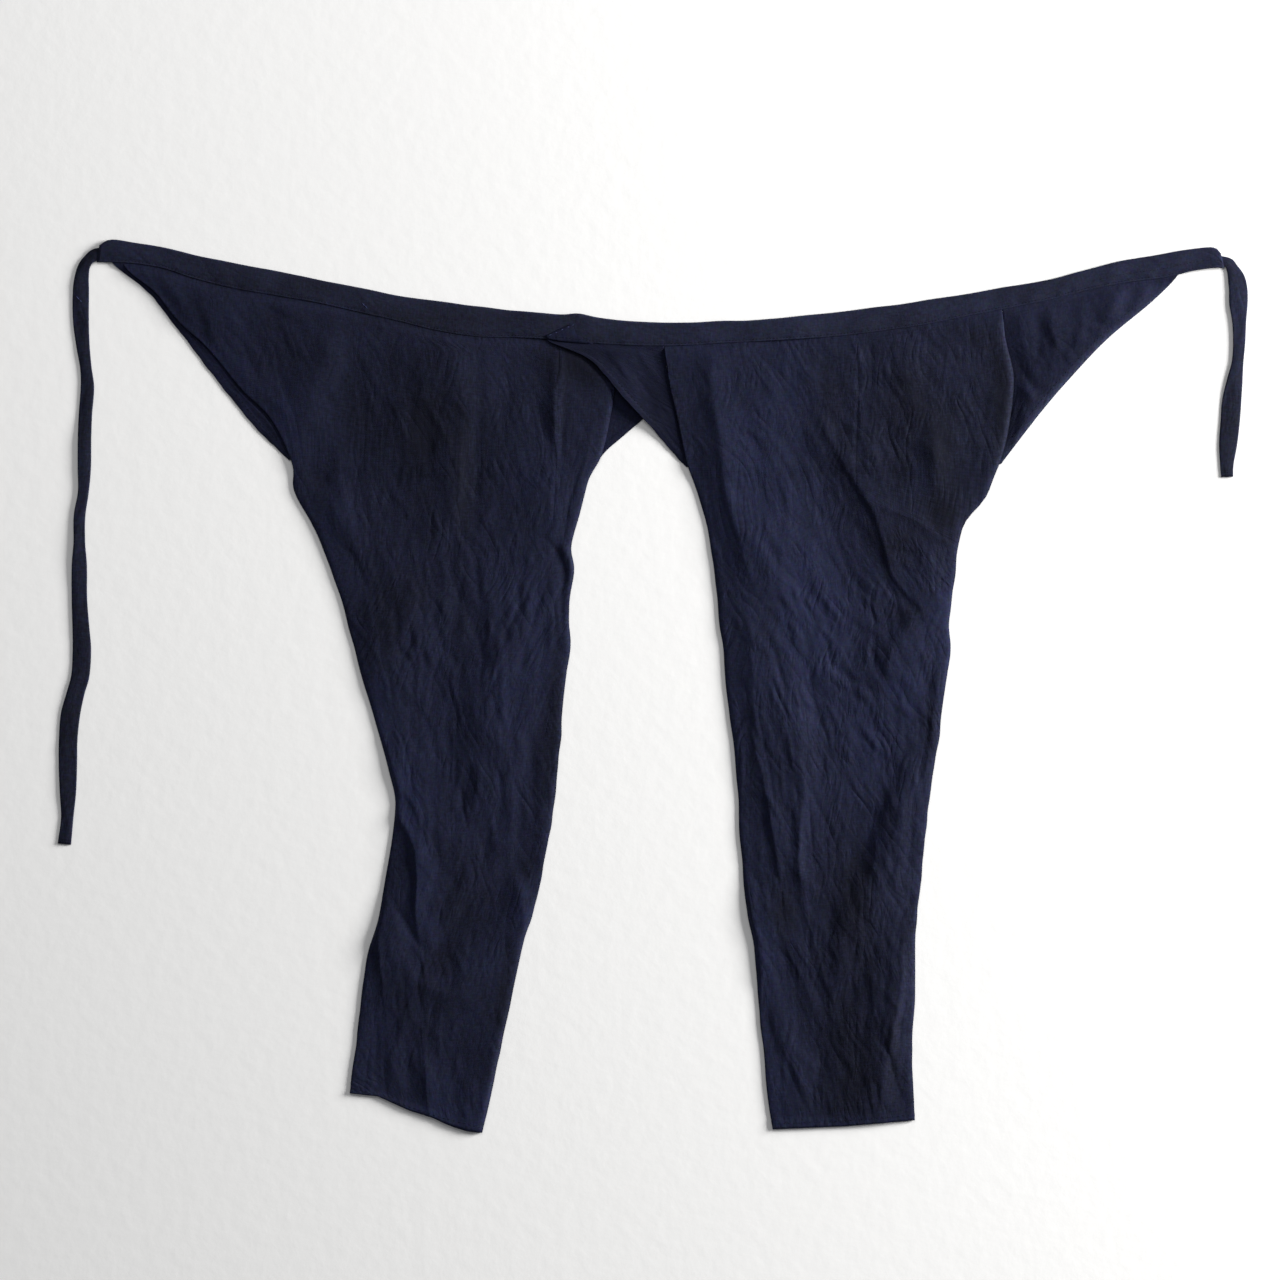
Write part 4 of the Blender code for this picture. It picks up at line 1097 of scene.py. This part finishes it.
STRAIGHT_HEM = ((0, 0), (1300, 0))
right_creases = [*RIGHT_FOLDS, *RIGHT_CREASES, *small_creases(RIGHT_SMALL, 5)]
right = lay_leg(
    RIGHT_LEG, RIGHT_WAIST, 6, (850, 612), (66, 50), (right_creases, RIGHT_TOPPLED, RIGHT_SWELLS),
    right_lift, right_over_left, beside_back_wing, STRAIGHT_HEM,
)
right_allowance = make_leg("right_leg", "right_hip_panel", right)

# %% The left leg and its seat panel
LEFT_HEM_BEND = ((350, 0), (378, -6), (386, -5), (410, -2), (433, -2.4), (455, 1.2), (468, 2), (484, 0))
left_creases = [*LEFT_FOLDS, *LEFT_CREASES, *small_creases(LEFT_SMALL, 8)]
left = lay_leg(
    LEFT_LEG, LEFT_WAIST, 7, (416, 609), (104, 16), (left_creases, LEFT_TOPPLED, LEFT_SWELLS),
    no_lift, no_lift, under_right_wing, LEFT_HEM_BEND,
)
left_allowance = make_leg("left_leg", "left_seat_panel", left)

# %% [markdown]
# ## The wings
#
# From the folded edge of each leg the front and the back carry on as wide wings up to the waistband.
# Each comes out from under its leg's folded edge. Its slanting edge is hemmed: the cloth is turned
# under twice, so the edge is thicker, stands a little proud, wears lighter and is painted lighter as
# a highlight. Cut on the slant, it also ripples.

# %% The grid of a wing
HEM_WIDTH = 7.0
FROM_LAP = (0, 6, LAP - 1.2, LAP + 0.3, LAP + 1.6)  # columns beside the leg's folded edge
FROM_HEM = (9.5, 7.6, 6.8, 4.0, 1.5, 0.5, 0.0)  # columns beside the hem


def lay_wing(rows, waist_x, side, hem, waist_hem_x, parts, creases, swells, lift, waist_lift, loose):
    """The points of a wing, from its lap under the leg's folded edge out to its hem, which cells are
    cloth, how much thicker it is and how much its edge wears lighter, with a painted highlight. side is 0
    for the leg's plain edge and 2 for its panel edge. loose is how far the cloth rises, how far it comes
    out from under the fold, how far its hem rises, how far in from there the cloth slopes, how thick the
    hem is and how much its edge wears lighter and is painted lighter as a highlight."""
    roundness, fold_rise, hem_lift, hem_slope, hem_step, rub_and_highlight = loose
    stations = with_waist(rows[: len(hem)], waist_x)
    hem_stations = [(x, band_edge(x) + drop) for x, drop in zip(waist_hem_x, BAND_DROP)]
    hem_stations = np.array(hem_stations + list(hem), float)
    at = fine_places(hem_stations, CELL)
    row = at[:, None]
    edges = smooth_line(stations, at)
    edge, seam = edges[:, 2 * side : 2 * side + 2], edges[:, 2:4]
    hem_line = smooth_line(hem_stations, at)
    hem_line[:, 0] += uneven(hem_line[:, 1] + hem_line[:, 0], 15, 1.1, 9.5) * ease(at, 1, 2)
    inward = (seam - edge) / np.linalg.norm(seam - edge, axis=1)[:, None]
    lapped = edge + inward * LAP
    length = np.linalg.norm(hem_line - lapped, axis=1)
    from_lap = spread(length, FROM_LAP, FROM_HEM, parts)
    share = (from_lap / length[:, None])[..., None]
    xy = lapped[:, None] * (1 - share) + hem_line[:, None] * share
    x, y = xy[..., 0], xy[..., 1]
    to_band = 1 - ease(row, 1.0, 2.2)
    fall = np.maximum(0, hem_line[:, 1] - band_edge(hem_line[:, 0]) - 1)[:, None] * (row > 1)
    on_band = band_edge(x) + np.interp(row, (0, 1), BAND_DROP) + fall
    y = y * (1 - to_band) + on_band * to_band
    from_hem, past_fold = length[:, None] - from_lap, from_lap - LAP

    # The creases, which fade out towards the waistband, the fold and the narrow end
    free = 1 - np.exp(-np.maximum(0, y - band_edge(x) - 1) / 9)
    squeeze = np.clip((length - LAP) / 30, 0, 1)[:, None]
    wobble = 1.4 * noise_at(x / 20, y / 20, 31.5)
    relief = roundness + crease_heights(creases, x + wobble, y - wobble) + crumple_heights(swells, x, y)
    ripple = np.abs(uneven(hem_line[:, 1] - hem_line[:, 0], 26, 0.5 * min(roundness, 1), 3.5))[:, None]
    relief = relief * (1 - np.exp(-from_hem / hem_slope)) + ripple * np.exp(-from_hem / 9)
    relief = keep_above(relief * free * squeeze * ease(past_fold, -2, 20), 0, 0.3) - 0.15

    # The hem, which is rounded where the cloth turns, and what stands off the table
    hemmed = (1 - ease(from_hem, HEM_WIDTH - 0.2, HEM_WIDTH + 0.6)) * ease(row, 1.6, 2.0)
    hemmed = hemmed * ease(past_fold, -1, 1)
    rounded = hemmed * (1 - 0.55 * np.exp(-from_hem / 0.4))
    stands_off = hem_lift * np.exp(-from_hem / 14) * free * squeeze**2 * ease(past_fold, -2, 8)
    comes_out = fold_rise * ease(past_fold, -1.0, 1.5) * np.exp(-np.maximum(0, past_fold - 1.5) / 11)
    stands_off = stands_off + comes_out * (1 - np.exp(-from_hem / 5)) * free
    on_table = ON_TABLE + lift(x, y) + np.maximum(relief, 0) + HEM_RAISE * hem_step * hemmed + stands_off
    in_band = 1 - ease(row, 1.0, 1.45)
    z = on_table * (1 - in_band) + (ON_TABLE + LAYER + waist_lift(x)) * in_band
    keep = (row[:-1] >= 1.4) | (np.arange(x.shape[1] - 1)[None] >= 2)
    # The hem wears lighter and is painted lighter as a highlight
    worn_and_highlit = rub_and_highlight * np.exp(-((from_hem / 10) ** 2)) * ease(row, 1.0, 2.0)
    return place(x, y, z), keep, hem_step * rounded, worn_and_highlit


def right_wing_lift(x, y):
    """The right back wing lies over the left leg's folded edge, and over the left back wing."""
    return right_lift(x, y) + 3.6 * (1 - ease(x, 622, 656))


# %% The four wings
WINGS = (
    # name, leg, its waist, side, hem, the hem's x in the waistband, even cells across, lift, lift in the
    # waistband, loose, paler, which darkens the whole wing as painted shade where negative
    ("right_back_wing", RIGHT_LEG, RIGHT_WAIST, 0, RIGHT_BACK_HEM, (556, 547), 30,
     right_wing_lift, right_over_left, (0.9, 1.2, 2.2, 5, 0.5, 0.15), -0.16),
    ("right_front_wing", RIGHT_LEG, RIGHT_WAIST, 2, RIGHT_FRONT_HEM, (1181, 1177), 44,
     no_lift, no_lift, (3.4, 0.3, 0.0, 8, 0.1, 1.6), 0.0),
    ("left_back_wing", LEFT_LEG, LEFT_WAIST, 2, LEFT_BACK_HEM, (736, 733), 30,
     no_lift, no_lift, (0.15, 0.0, 0.0, 5, 0.4, 0.0), 0.0),
    ("left_front_wing", LEFT_LEG, LEFT_WAIST, 0, LEFT_FRONT_HEM, (112, 113), 6,
     no_lift, no_lift, (1.2, 1.5, 0.0, 9, 0.3, 0.0), -0.12),
)
WING_CREASES = {
    "right_back_wing": (
        (-1.2, 5, 6, 580, 322, 592, 340, 606, 358, 626, 378),
        (-1.0, 5, 6, 612, 340, 626, 352, 642, 366),
        (-1.2, 3, 4, 646, 342, 654, 356, 662, 370),
        (-1.3, 3, 4, 622, 356, 636, 376, 649, 396),
        (1.2, 4, 4, 604, 346, 618, 364, 636, 388),
        (0.9, 3, 4, 632, 346, 646, 362, 660, 384),
    ),
    "right_front_wing": (
        (-2.2, 8, 5, 1012, 356, 1022, 372, 1034, 390),
        (1.8, 4, 6, 1015, 382, 1028, 396, 1042, 404),
        (-1.6, 7, 7, 1034, 306, 1040, 335, 1034, 368),
        (1.8, 6, 9, 1046, 304, 1053, 330, 1058, 356),
        (4.0, 34, 9, 1124, 278, 1115, 300, 1104, 326),
        (3.2, 12, 8, 1152, 276, 1142, 294, 1131, 312),
        (1.4, 8, 8, 1082, 300, 1080, 330, 1068, 360),
        (-1.4, 5, 6, 1020, 395, 1014, 425, 1008, 450),
    ),
}
WING_SWELLS = ((1080, 340, 120, 120, 60, 24, 10, 2.2), (620, 370, 80, 80, 56, 44, 15, 2.0))
for name, rows, waist_x, side, hem, waist_hem_x, parts, lift, waist_lift, loose, paler_with_painted_shade in WINGS:
    tables = lay_wing(
        rows, waist_x, side, hem, waist_hem_x, parts, WING_CREASES.get(name, ()),
        WING_SWELLS if loose[0] > 0.5 else (), lift, waist_lift, loose,
    )
    # Beside a plain edge the columns run to the left, so they are turned round to keep the face up
    if side == 0:
        tables = [table[:, ::-1] for table in tables]
    points, keep, doubled, worn_and_highlit = tables
    # The last value darkens the wing as painted shade
    pieces[name] = make_cloth(name + "_cloth", points, keep, wing_cotton, doubled, 0, worn_and_highlit, paler_with_painted_shade)

# %% [markdown]
# ## The waistband
#
# The waistband is one long strip, folded over its top edge with the trousers' upper edge between its
# two layers, and stitched through close to its lower edge. It is stiffer than the legs, so it only
# ripples gently, with small puckers where the stitches pull.

# %% The waistband's grid
TIE_ROOM = 0.6  # how much thicker the waistband is where it holds a tie
BAND_STITCHES = 2.2  # how far above its lower edge it is stitched through
UNDER_SHARES = (1.0, 0.8, 0.6, 0.4, 0.2, 0.0)
TURN_ANGLES = (-60, -30, 0, 30, 60)
FRONT_SHARES = (*np.linspace(0, 0.8, 9), 0.86, 0.9, 0.94, 0.975, 1.0)

band_rows = smooth_line(WAISTBAND, fine_places(np.array(WAISTBAND)[:, :2], 3.4))
top, lower = band_rows[:, :2], band_rows[:, 2:]
top = top + np.column_stack([np.zeros(len(top)), uneven(top[:, 0], 30, 0.9, 4.5)])
band_width = np.linalg.norm(lower - top, axis=1)
down = (lower - top) / band_width[:, None]
two_layers = ease(top[:, 0], 512, 544) * (1 - ease(top[:, 0], 790, 835))
at_tie = 1 - ease(top[:, 0], 112, 170) * (1 - ease(top[:, 0], 1160, 1205))
front_z = ON_TABLE + 2 * LAYER - 0.5 + LAYER * two_layers + TIE_ROOM * at_tie
turn = (front_z - ON_TABLE) / 2
reach = 0.5 + turn
below_fold = band_width - reach


def band_row(from_top, height):
    """Points all along the waistband, so far below its top edge and at this height."""
    return np.column_stack([top + down * from_top[:, None], np.broadcast_to(height, len(top))])


section = [band_row(reach + below_fold * share, ON_TABLE) for share in UNDER_SHARES]
for angle in np.radians(TURN_ANGLES):
    section.append(band_row(reach - math.cos(angle) * turn, ON_TABLE + turn + turn * math.sin(angle)))
for share in FRONT_SHARES:
    from_top, from_edge = reach + below_fold * share, below_fold * (1 - share)
    x = top[:, 0] + down[:, 0] * from_top
    swell = 0.45 * math.sin(math.pi * min(share / 0.9, 1))
    rolls = uneven(x + 9 * share, 24, 1.0, 12.5 + share) * math.sin(math.pi * share) ** 0.5
    pucker = uneven(x, 5, 0.7, 15.5) * np.exp(-(((from_edge - 3) / 3) ** 2))
    stitched = -0.35 * np.exp(-(((from_edge - BAND_STITCHES) / 0.9) ** 2))
    height = front_z + np.maximum(swell + rolls + pucker, -0.1) + stitched - 0.3 * (share == 1.0)
    section.append(band_row(from_top, height))
band_points = place(*np.moveaxis(np.stack(section, axis=1), -1, 0))
print("waistband:", round(float(np.sum(np.hypot(*np.diff(top, axis=0).T)))), "mm long")

# %% The waistband's cloth
first_turned, first_front = len(UNDER_SHARES), len(UNDER_SHARES) + len(TURN_ANGLES)
# The turned top edge and the lower edge wear lighter, and are painted lighter as a highlight too
band_worn_and_highlit = np.zeros(band_points.shape[:2])
band_worn_and_highlit[:, first_turned:first_front] = 0.5
band_worn_and_highlit[:, -2:] = 0.2
band_thin = np.zeros(band_points.shape[:2])
band_thin[:, -1] = -0.6
pieces["waistband"] = make_cloth(
    "waistband_cloth", band_points, None, waist_cotton, band_thin, first_front + 1, band_worn_and_highlit
)

# %% [markdown]
# ## The turned corner
#
# The right back wing's top corner is turned up over the waistband and tacked down with a few pale
# stitches.

# %% The corner's cloth
CORNER = (
    # upper_x, upper_y, lower_x, lower_y
    (545, 336.5, 546.5, 338.5), (555, 331.5, 561, 341.5), (565, 327, 577, 343), (575, 323, 593, 344),
)
corner_at = np.linspace(0, 3, 13)
corner_rows = smooth_line(CORNER, corner_at)
shares = np.linspace(0, 1, 9)[None, :, None]
corner_xy = corner_rows[:, None, :2] * (1 - shares) + corner_rows[:, None, 2:] * shares
bulge = np.sin(math.pi * shares[..., 0]) * ease(corner_at, 0, 2)[:, None]
soft = 1 + noise_at(corner_xy[..., 0] / 6, corner_xy[..., 1] / 6, 2.5)
corner_z = ON_TABLE + 4 * LAYER - 0.9 + 0.4 * bulge * soft - 0.9 * ease(corner_at, 2.3, 3)[:, None]
corner_points = place(corner_xy[..., 0], corner_xy[..., 1], corner_z)
# The rows run from left to right here, so the grid is turned to keep its face up
pieces["turned_corner"] = make_cloth(
    "turned_corner_cloth", corner_points.transpose(1, 0, 2), None, wing_cotton,
    np.tile(np.linspace(-0.5, -0.96, 13), (9, 1)),
)

# %% [markdown]
# ## The ties
#
# Each tie is a strip folded in four and stitched along its edge, so it is narrow, thick and a little
# stiff. It lies on the table with a few lazy turns. Its section is a flattened ring, which a grid
# follows round and along.

# %% Ties
LONG_TIE = (
    # x, y, width, roll in degrees, height of its middle where the waistband holds it
    (109, 252.5, 12, 0, 2.1), (95.5, 255, 12, 0, 2.1), (89.5, 259, 11, 8, 0), (84.5, 266, 12, 6, 0),
    (82, 276, 14, 0, 0), (81, 292, 16.3, 0, 0), (81, 320, 16, 0, 0), (83, 345, 13.5, 0, 0),
    (86, 368, 11.5, 0, 0), (87.5, 388, 13.5, 0, 0), (85.5, 415, 13.4, 0, 0), (84.7, 440, 13.4, -4, 0),
    (84.5, 468, 13.2, -5, 0), (83.5, 492, 10.8, -5, 0), (79.7, 516, 11.6, -4, 0), (79.5, 542, 11.6, -5, 0),
    (79.5, 566, 15.2, -3, 0), (79.5, 598, 15.5, 0, 0), (81, 628, 17, 0, 0), (82, 650, 18.5, 0, 0),
    (80.5, 675, 18.2, 0, 0), (76, 692, 17.6, 0, 0), (70.5, 715, 19.3, 0, 0), (68.3, 740, 18.6, 0, 0),
    (68, 765, 18.4, 0, 0), (68, 792, 16.4, 0, 0), (67.3, 818, 12.4, 0, 0), (64.5, 844, 13.5, 0, 0),
)
SHORT_TIE = (
    # the same columns as for the long tie
    (1209, 260, 10, 0, 2.1), (1227, 262.5, 10, 0, 2.1), (1232, 268.5, 12, -2, 0),
    (1236, 278, 17, -2, 0), (1238, 289, 18.6, -2, 0), (1238.3, 304, 18.6, -3, 0),
    (1239, 322, 14.2, -4, 0), (1239, 342, 12.4, -4, 0), (1237.5, 362, 11.8, -3, 0),
    (1234.5, 381, 16, -2, 0), (1231.5, 402, 19.4, 0, 0), (1230, 422, 19.3, 0, 0),
    (1228, 444, 18.2, 0, 0), (1226.7, 464, 13.7, 0, 0), (1227, 477, 12, 0, 0),
)
TIE_THICKNESS = 1.6  # millimetres


def make_tie(name, stations):
    """A tie along its stations, with closed ends, and the fine rows that it follows."""
    at = fine_places(np.array(stations)[:, :2], 2.0)
    rows = smooth_line(stations, at)
    line, width, roll = rows[:, :2], rows[:, 2], np.radians(rows[:, 3])
    held = 1 - ease(at, 1.0, 2.0)
    along = np.gradient(line, axis=0)
    along = along / np.linalg.norm(along, axis=1)[:, None]
    side_x, side_y = along[:, 1], -along[:, 0]
    rest = TIE_THICKNESS / 2 * np.cos(roll) + width / 2 * np.abs(np.sin(roll))
    middle_z = stations[0][4] * held + rest * (1 - held)
    crest = uneven(line[:, 1], 46, 1.3, 8.5)
    turns = np.linspace(0, 2 * math.pi, 29)
    ring = []
    for angle in turns:
        across = math.copysign(abs(math.cos(angle)) ** 0.55, math.cos(angle))
        up = math.copysign(abs(math.sin(angle)) ** 0.7, math.sin(angle))
        edge_bead = 0.22 * math.exp(-(((abs(across) - 0.86) / 0.1) ** 2))
        soft = uneven(line[:, 1] + 40 * across, 11, 0.22, 6.5)
        crown = 0.7 * np.maximum(0, 1 - np.abs(across - crest) / 1.1)
        aside = across * width / 2
        raised = up * (TIE_THICKNESS / 2 + edge_bead) + (soft + crown) * max(0, up)
        x = line[:, 0] + side_x * (aside * np.cos(roll) - raised * np.sin(roll))
        y = line[:, 1] + side_y * aside * np.cos(roll)
        z = middle_z + aside * np.sin(roll) * np.sign(side_x + 1e-6) + raised * np.cos(roll)
        ring.append(np.column_stack([x, y, np.maximum(z, 0.05)]))
    points = place(*np.moveaxis(np.stack(ring, axis=1), -1, 0))
    # The tie's edges wear lighter and are painted lighter as a highlight, and the spot table paints shade
    # and highlight on it too
    tie = cloth_grid(points, 0, {
        "worn_and_highlit": np.broadcast_to(0.7 * np.abs(np.cos(turns)) ** 6 + 0.1, points.shape[:2]),
        "dye_and_painted_light": spots_at(points, DYE_AND_PAINTED_LIGHT, 0.22),
        "creased": np.full(points.shape[:2], 0.5),
    })
    bmesh.ops.remove_doubles(tie, verts=tie.verts[:], dist=1e-6)
    ends = [edge for edge in tie.edges if edge.is_boundary]
    bmesh.ops.holes_fill(tie, edges=ends, sides=0)
    bmesh.ops.recalc_face_normals(tie, faces=tie.faces[:])
    return finish_piece(name, tie, waist_cotton), rows


pieces["long_tie"], long_tie_rows = make_tie("long_tie_cloth", LONG_TIE)
pieces["short_tie"], short_tie_rows = make_tie("short_tie_cloth", SHORT_TIE)

# %% [markdown]
# ## Sewing
#
# A row of stitches is one small stitch repeated along a line. Each is a short bead of thread, sunk at
# both ends into the cloth. A ray dropped from above finds how high the cloth is under each stitch.

# %% A row of stitches


def tree_of(cloths):
    """The cloths' finished surfaces, for dropping rays on."""
    graph = bpy.context.evaluated_depsgraph_get()
    whole = bmesh.new()
    for cloth in cloths:
        evaluated = cloth.evaluated_get(graph)
        mesh = evaluated.to_mesh()
        whole.from_mesh(mesh)
        evaluated.to_mesh_clear()
    found = BVHTree.FromBMesh(whole)
    whole.free()
    return found


def height_under(tree, x, y):
    """Height in millimetres of the top of the cloth at (x, y), or None beside it."""
    start = Vector(place(x, y, 60.0))
    hit = tree.ray_cast(start, Vector((0, 0, -1)))[0]
    return None if hit is None else hit.z / MM


def add_stitches(sewing, tree, line, pitch, length, thickness, sway=0.0):
    """Adds stitches to a bmesh along a line of (x, y) points, and gives how many."""
    line = np.asarray(line, float)
    steps = np.concatenate([[0], np.cumsum(np.hypot(*np.diff(line, axis=0).T))])
    made = 0
    for k, middle in enumerate(np.arange(pitch / 2, steps[-1], pitch)):
        middle += 0.12 * pitch * noise.noise((k * 0.7, 1.5, 0.5))
        ends = []
        for place_on in (middle - length / 2, middle + length / 2):
            x, y = np.interp(place_on, steps, line[:, 0]), np.interp(place_on, steps, line[:, 1])
            height = height_under(tree, x, y)
            ends.append(None if height is None else Vector(place(x, y, height)))
        if None in ends:
            continue
        run = ends[1] - ends[0]
        turn = run.to_track_quat("X", "Z").to_matrix().to_4x4()
        slant = Matrix.Rotation(sway * noise.noise((k * 1.3, 9.5, 0.5)), 4, "Z")
        size = Matrix.Diagonal((run.length / 2, thickness / 2 * MM, thickness / 2 * MM, 1))
        matrix = Matrix.Translation((ends[0] + ends[1]) / 2) @ turn @ slant @ size
        bmesh.ops.create_uvsphere(sewing, u_segments=6, v_segments=5, radius=1, matrix=matrix)
        made += 1
    return made


def finish_sewing(name, sewing, material):
    """The stitches of a bmesh as one smooth piece."""
    for face in sewing.faces:
        face.smooth = True
    return finish_piece(name, sewing, material)


# %% Stitches along the waistband and the hems
# The pitch, length and thickness of stitches, in millimetres
BAND_STITCH = (3.4, 2.4, 0.55)
BAND_END_STITCH = (3.4, 2.4, 0.5)
LEG_HEM_STITCH = (5.2, 2.6, 0.5)
WING_HEM_STITCH = (4.6, 2.6, 0.5)
TIE_WRAP = (2.6, 2.2, 0.6)
TO_LEG_STITCHES = (0.05, -5.5)  # from a leg's hem to its stitches, along x and y
SLANTING_HEMS = (
    # hem, and from it to its stitches
    (RIGHT_BACK_HEM, (4.84, -3.96)),
    (RIGHT_FRONT_HEM, (-5.06, -4.62)),
    (LEFT_FRONT_HEM, (5.06, -3.74)),
)
cloth_tree = tree_of(pieces.values())
band_sewing = bmesh.new()
stitch_line = top + down * (band_width - BAND_STITCHES)[:, None]
count = add_stitches(band_sewing, cloth_tree, stitch_line[3:-3], *BAND_STITCH)
end_line = (top + down * (band_width * 0.62)[:, None])[band_rows[:, 0] > 1095]
count += add_stitches(band_sewing, cloth_tree, end_line, *BAND_END_STITCH)
waistband_stitches = finish_sewing("waistband_stitches", band_sewing, indigo_thread)

hem_sewing = bmesh.new()
for rows in (RIGHT_LEG, LEFT_LEG):
    plain, seam, panel = np.reshape(rows[-1], (3, 2)) + TO_LEG_STITCHES
    line = [plain + (3, 0), seam, panel - (3, 0)]
    count += add_stitches(hem_sewing, cloth_tree, line, *LEG_HEM_STITCH)
for hem, inset in SLANTING_HEMS:
    line = smooth_line(hem, np.linspace(0.05, len(hem) - 1.4, 60)) + inset
    count += add_stitches(hem_sewing, cloth_tree, line, *WING_HEM_STITCH)
hem_stitches = finish_sewing("hem_stitches", hem_sewing, indigo_thread)
print("stitches so far:", count)

# %% [markdown]
# The ties' tips are held by a few turns of thread across them. Pale tacking stitches hold the turned
# corner, and a few more are on the waistband and the long tie.

# %% Tacks and tie ends
tie_sewing = bmesh.new()
for rows, ends in ((long_tie_rows, (2.0, 4.5)), (short_tie_rows, (2.0, 4.5, 7.0))):
    tip, width = rows[-1, :2], rows[-1, 2]
    heading = (tip - rows[-6, :2]) / np.hypot(*(tip - rows[-6, :2]))
    half = np.array([-heading[1], heading[0]]) * (width / 2 - 1.2)
    for back in ends:
        middle = tip - heading * back
        add_stitches(tie_sewing, cloth_tree, [middle - half, middle + half], *TIE_WRAP)
tie_stitches = finish_sewing("tie_stitches", tie_sewing, indigo_thread)

TACKS = (
    # the line that they follow, their pitch, length, thickness and sway
    (((547, 336.8), (556, 333.0), (566, 328.2), (574, 325.2)), 6.5, 3.0, 0.5, 0.5),
    (((362, 303), (368, 309)), 4.0, 4.5, 0.7, 0.5),
    (((76, 296), (82, 302)), 5.0, 5.0, 0.6, 0.4),
)
tacks = bmesh.new()
for line, *sizes in TACKS:
    add_stitches(tacks, cloth_tree, line, *sizes)
tacking_stitches = finish_sewing("tacking_stitches", tacks, tacking_thread)

# %% [markdown]
# ## What each piece stands for
#
# Every piece rides on the part's one body and stands for its CAD node, which is hidden. The table
# also lists each piece's finish and what its cloth was cut to, all round on a leg, which is a tube,
# but nothing here reads them.

# %% Bodies and nodes
CUTS = (
    # node, finish, width, length, area
    ("right_leg", "leg_cotton", 0.48, 0.81, 0.262),
    ("left_leg", "leg_cotton", 0.65, 0.81, 0.280),
    ("right_hip_panel", "leg_cotton", 0.17, 0.25, 0.034),
    ("left_seat_panel", "leg_cotton", 0.09, 0.20, 0.012),
    ("waistband", "waist_cotton", 0.05, 1.13, 0.0556),
    ("turned_corner", "wing_cotton", 0.047, 0.021, 0.00055),
    ("long_tie", "waist_cotton", 0.0155, 0.61, None),
    ("short_tie", "waist_cotton", 0.0165, 0.235, None),
    ("right_back_wing", "wing_cotton", 0.12, 0.145, 0.0087),
    ("right_front_wing", "wing_cotton", 0.20, 0.17, 0.0161),
    ("left_back_wing", "wing_cotton", 0.13, 0.13, 0.0090),
    ("left_front_wing", "wing_cotton", 0.03, 0.28, 0.0050),
)
for node, finish, width, length, area in CUTS:
    piece = pieces[node]
    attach(piece, "root")
    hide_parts(node)
for sewing, finish in (
    (right_allowance, "leg_cotton"),
    (left_allowance, "leg_cotton"),
    (waistband_stitches, "waist_cotton"),
    (hem_stitches, "leg_cotton"),
    (tie_stitches, "waist_cotton"),
    (tacking_stitches, "wing_cotton"),
):
    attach(sewing, "root")
print("pieces of cloth:", len(CUTS))

# %% [markdown]
# ## Floor, light and camera
#
# The garment is shown on a pale matt floor under soft daylight that comes mostly from the right, as
# from a large window. The light is low enough to draw the creases, and the sky fills the shadows. The
# camera looks straight down, from far enough away for the picture to be free of perspective.

# %% Stage
plaster, shader = new_material("pale_matt_plaster")
spot = add_node(plaster, "TexCoord", output="Object")
grain = add_node(plaster, "TexNoise", {"Vector": spot, "Scale": 60.0, "Detail": 6.0})
connect(plaster, shader, {
    "Base Color": colour("#f1f0ee"),
    "Roughness": 0.85,
    "Normal": add_node(plaster, "Bump", {"Height": grain, "Strength": 0.25, "Distance": 0.001}),
})
floor_shape = bmesh.new()
bmesh.ops.create_grid(floor_shape, x_segments=1, y_segments=1, size=6)
floor = finish_piece("floor", floor_shape, plaster)

# %% Light
world = bpy.data.worlds.new("soft_daylight")
bpy.context.scene.world = world
world.use_nodes = True
world.node_tree.nodes["Background"].inputs["Color"].default_value = (0.93, 0.95, 1.0, 1)
world.node_tree.nodes["Background"].inputs["Strength"].default_value = 0.2


def add_window(name, location, target, width, height, power):
    """A rectangular area light that faces its target."""
    light = bpy.data.lights.new(name, "AREA")
    light.shape = "RECTANGLE"
    light.size, light.size_y, light.energy = width, height, power
    window = bpy.data.objects.new(name, light)
    window.location = location
    window.rotation_mode = "QUATERNION"
    window.rotation_quaternion = (Vector(target) - Vector(location)).to_track_quat("-Z", "Y")
    window.visible_camera = False
    bpy.context.scene.collection.objects.link(window)


add_window("window_right", (4.2, 1.1, 1.28), (0, 0, 0), 1.9, 1.4, 550)
add_window("window_above", (-0.4, 1.8, 2.4), (0, 0, 0), 1.8, 1.4, 18)

# %% Camera
PICTURE = 1.280  # metres across the picture
PICTURE_MIDDLE = (640, 640)
HEIGHT = 4.0
SENSOR = 36  # millimetres
camera_data = bpy.data.cameras.new("camera")
camera_data.sensor_width = SENSOR
camera_data.lens = SENSOR * HEIGHT / PICTURE
camera = bpy.data.objects.new("camera", camera_data)
camera.location = (*place(*PICTURE_MIDDLE, 0)[:2], HEIGHT)
bpy.context.scene.collection.objects.link(camera)
bpy.context.scene.camera = camera
bpy.context.scene.view_settings.view_transform = "Standard"
print("camera over", tuple(round(v, 3) for v in camera.location))
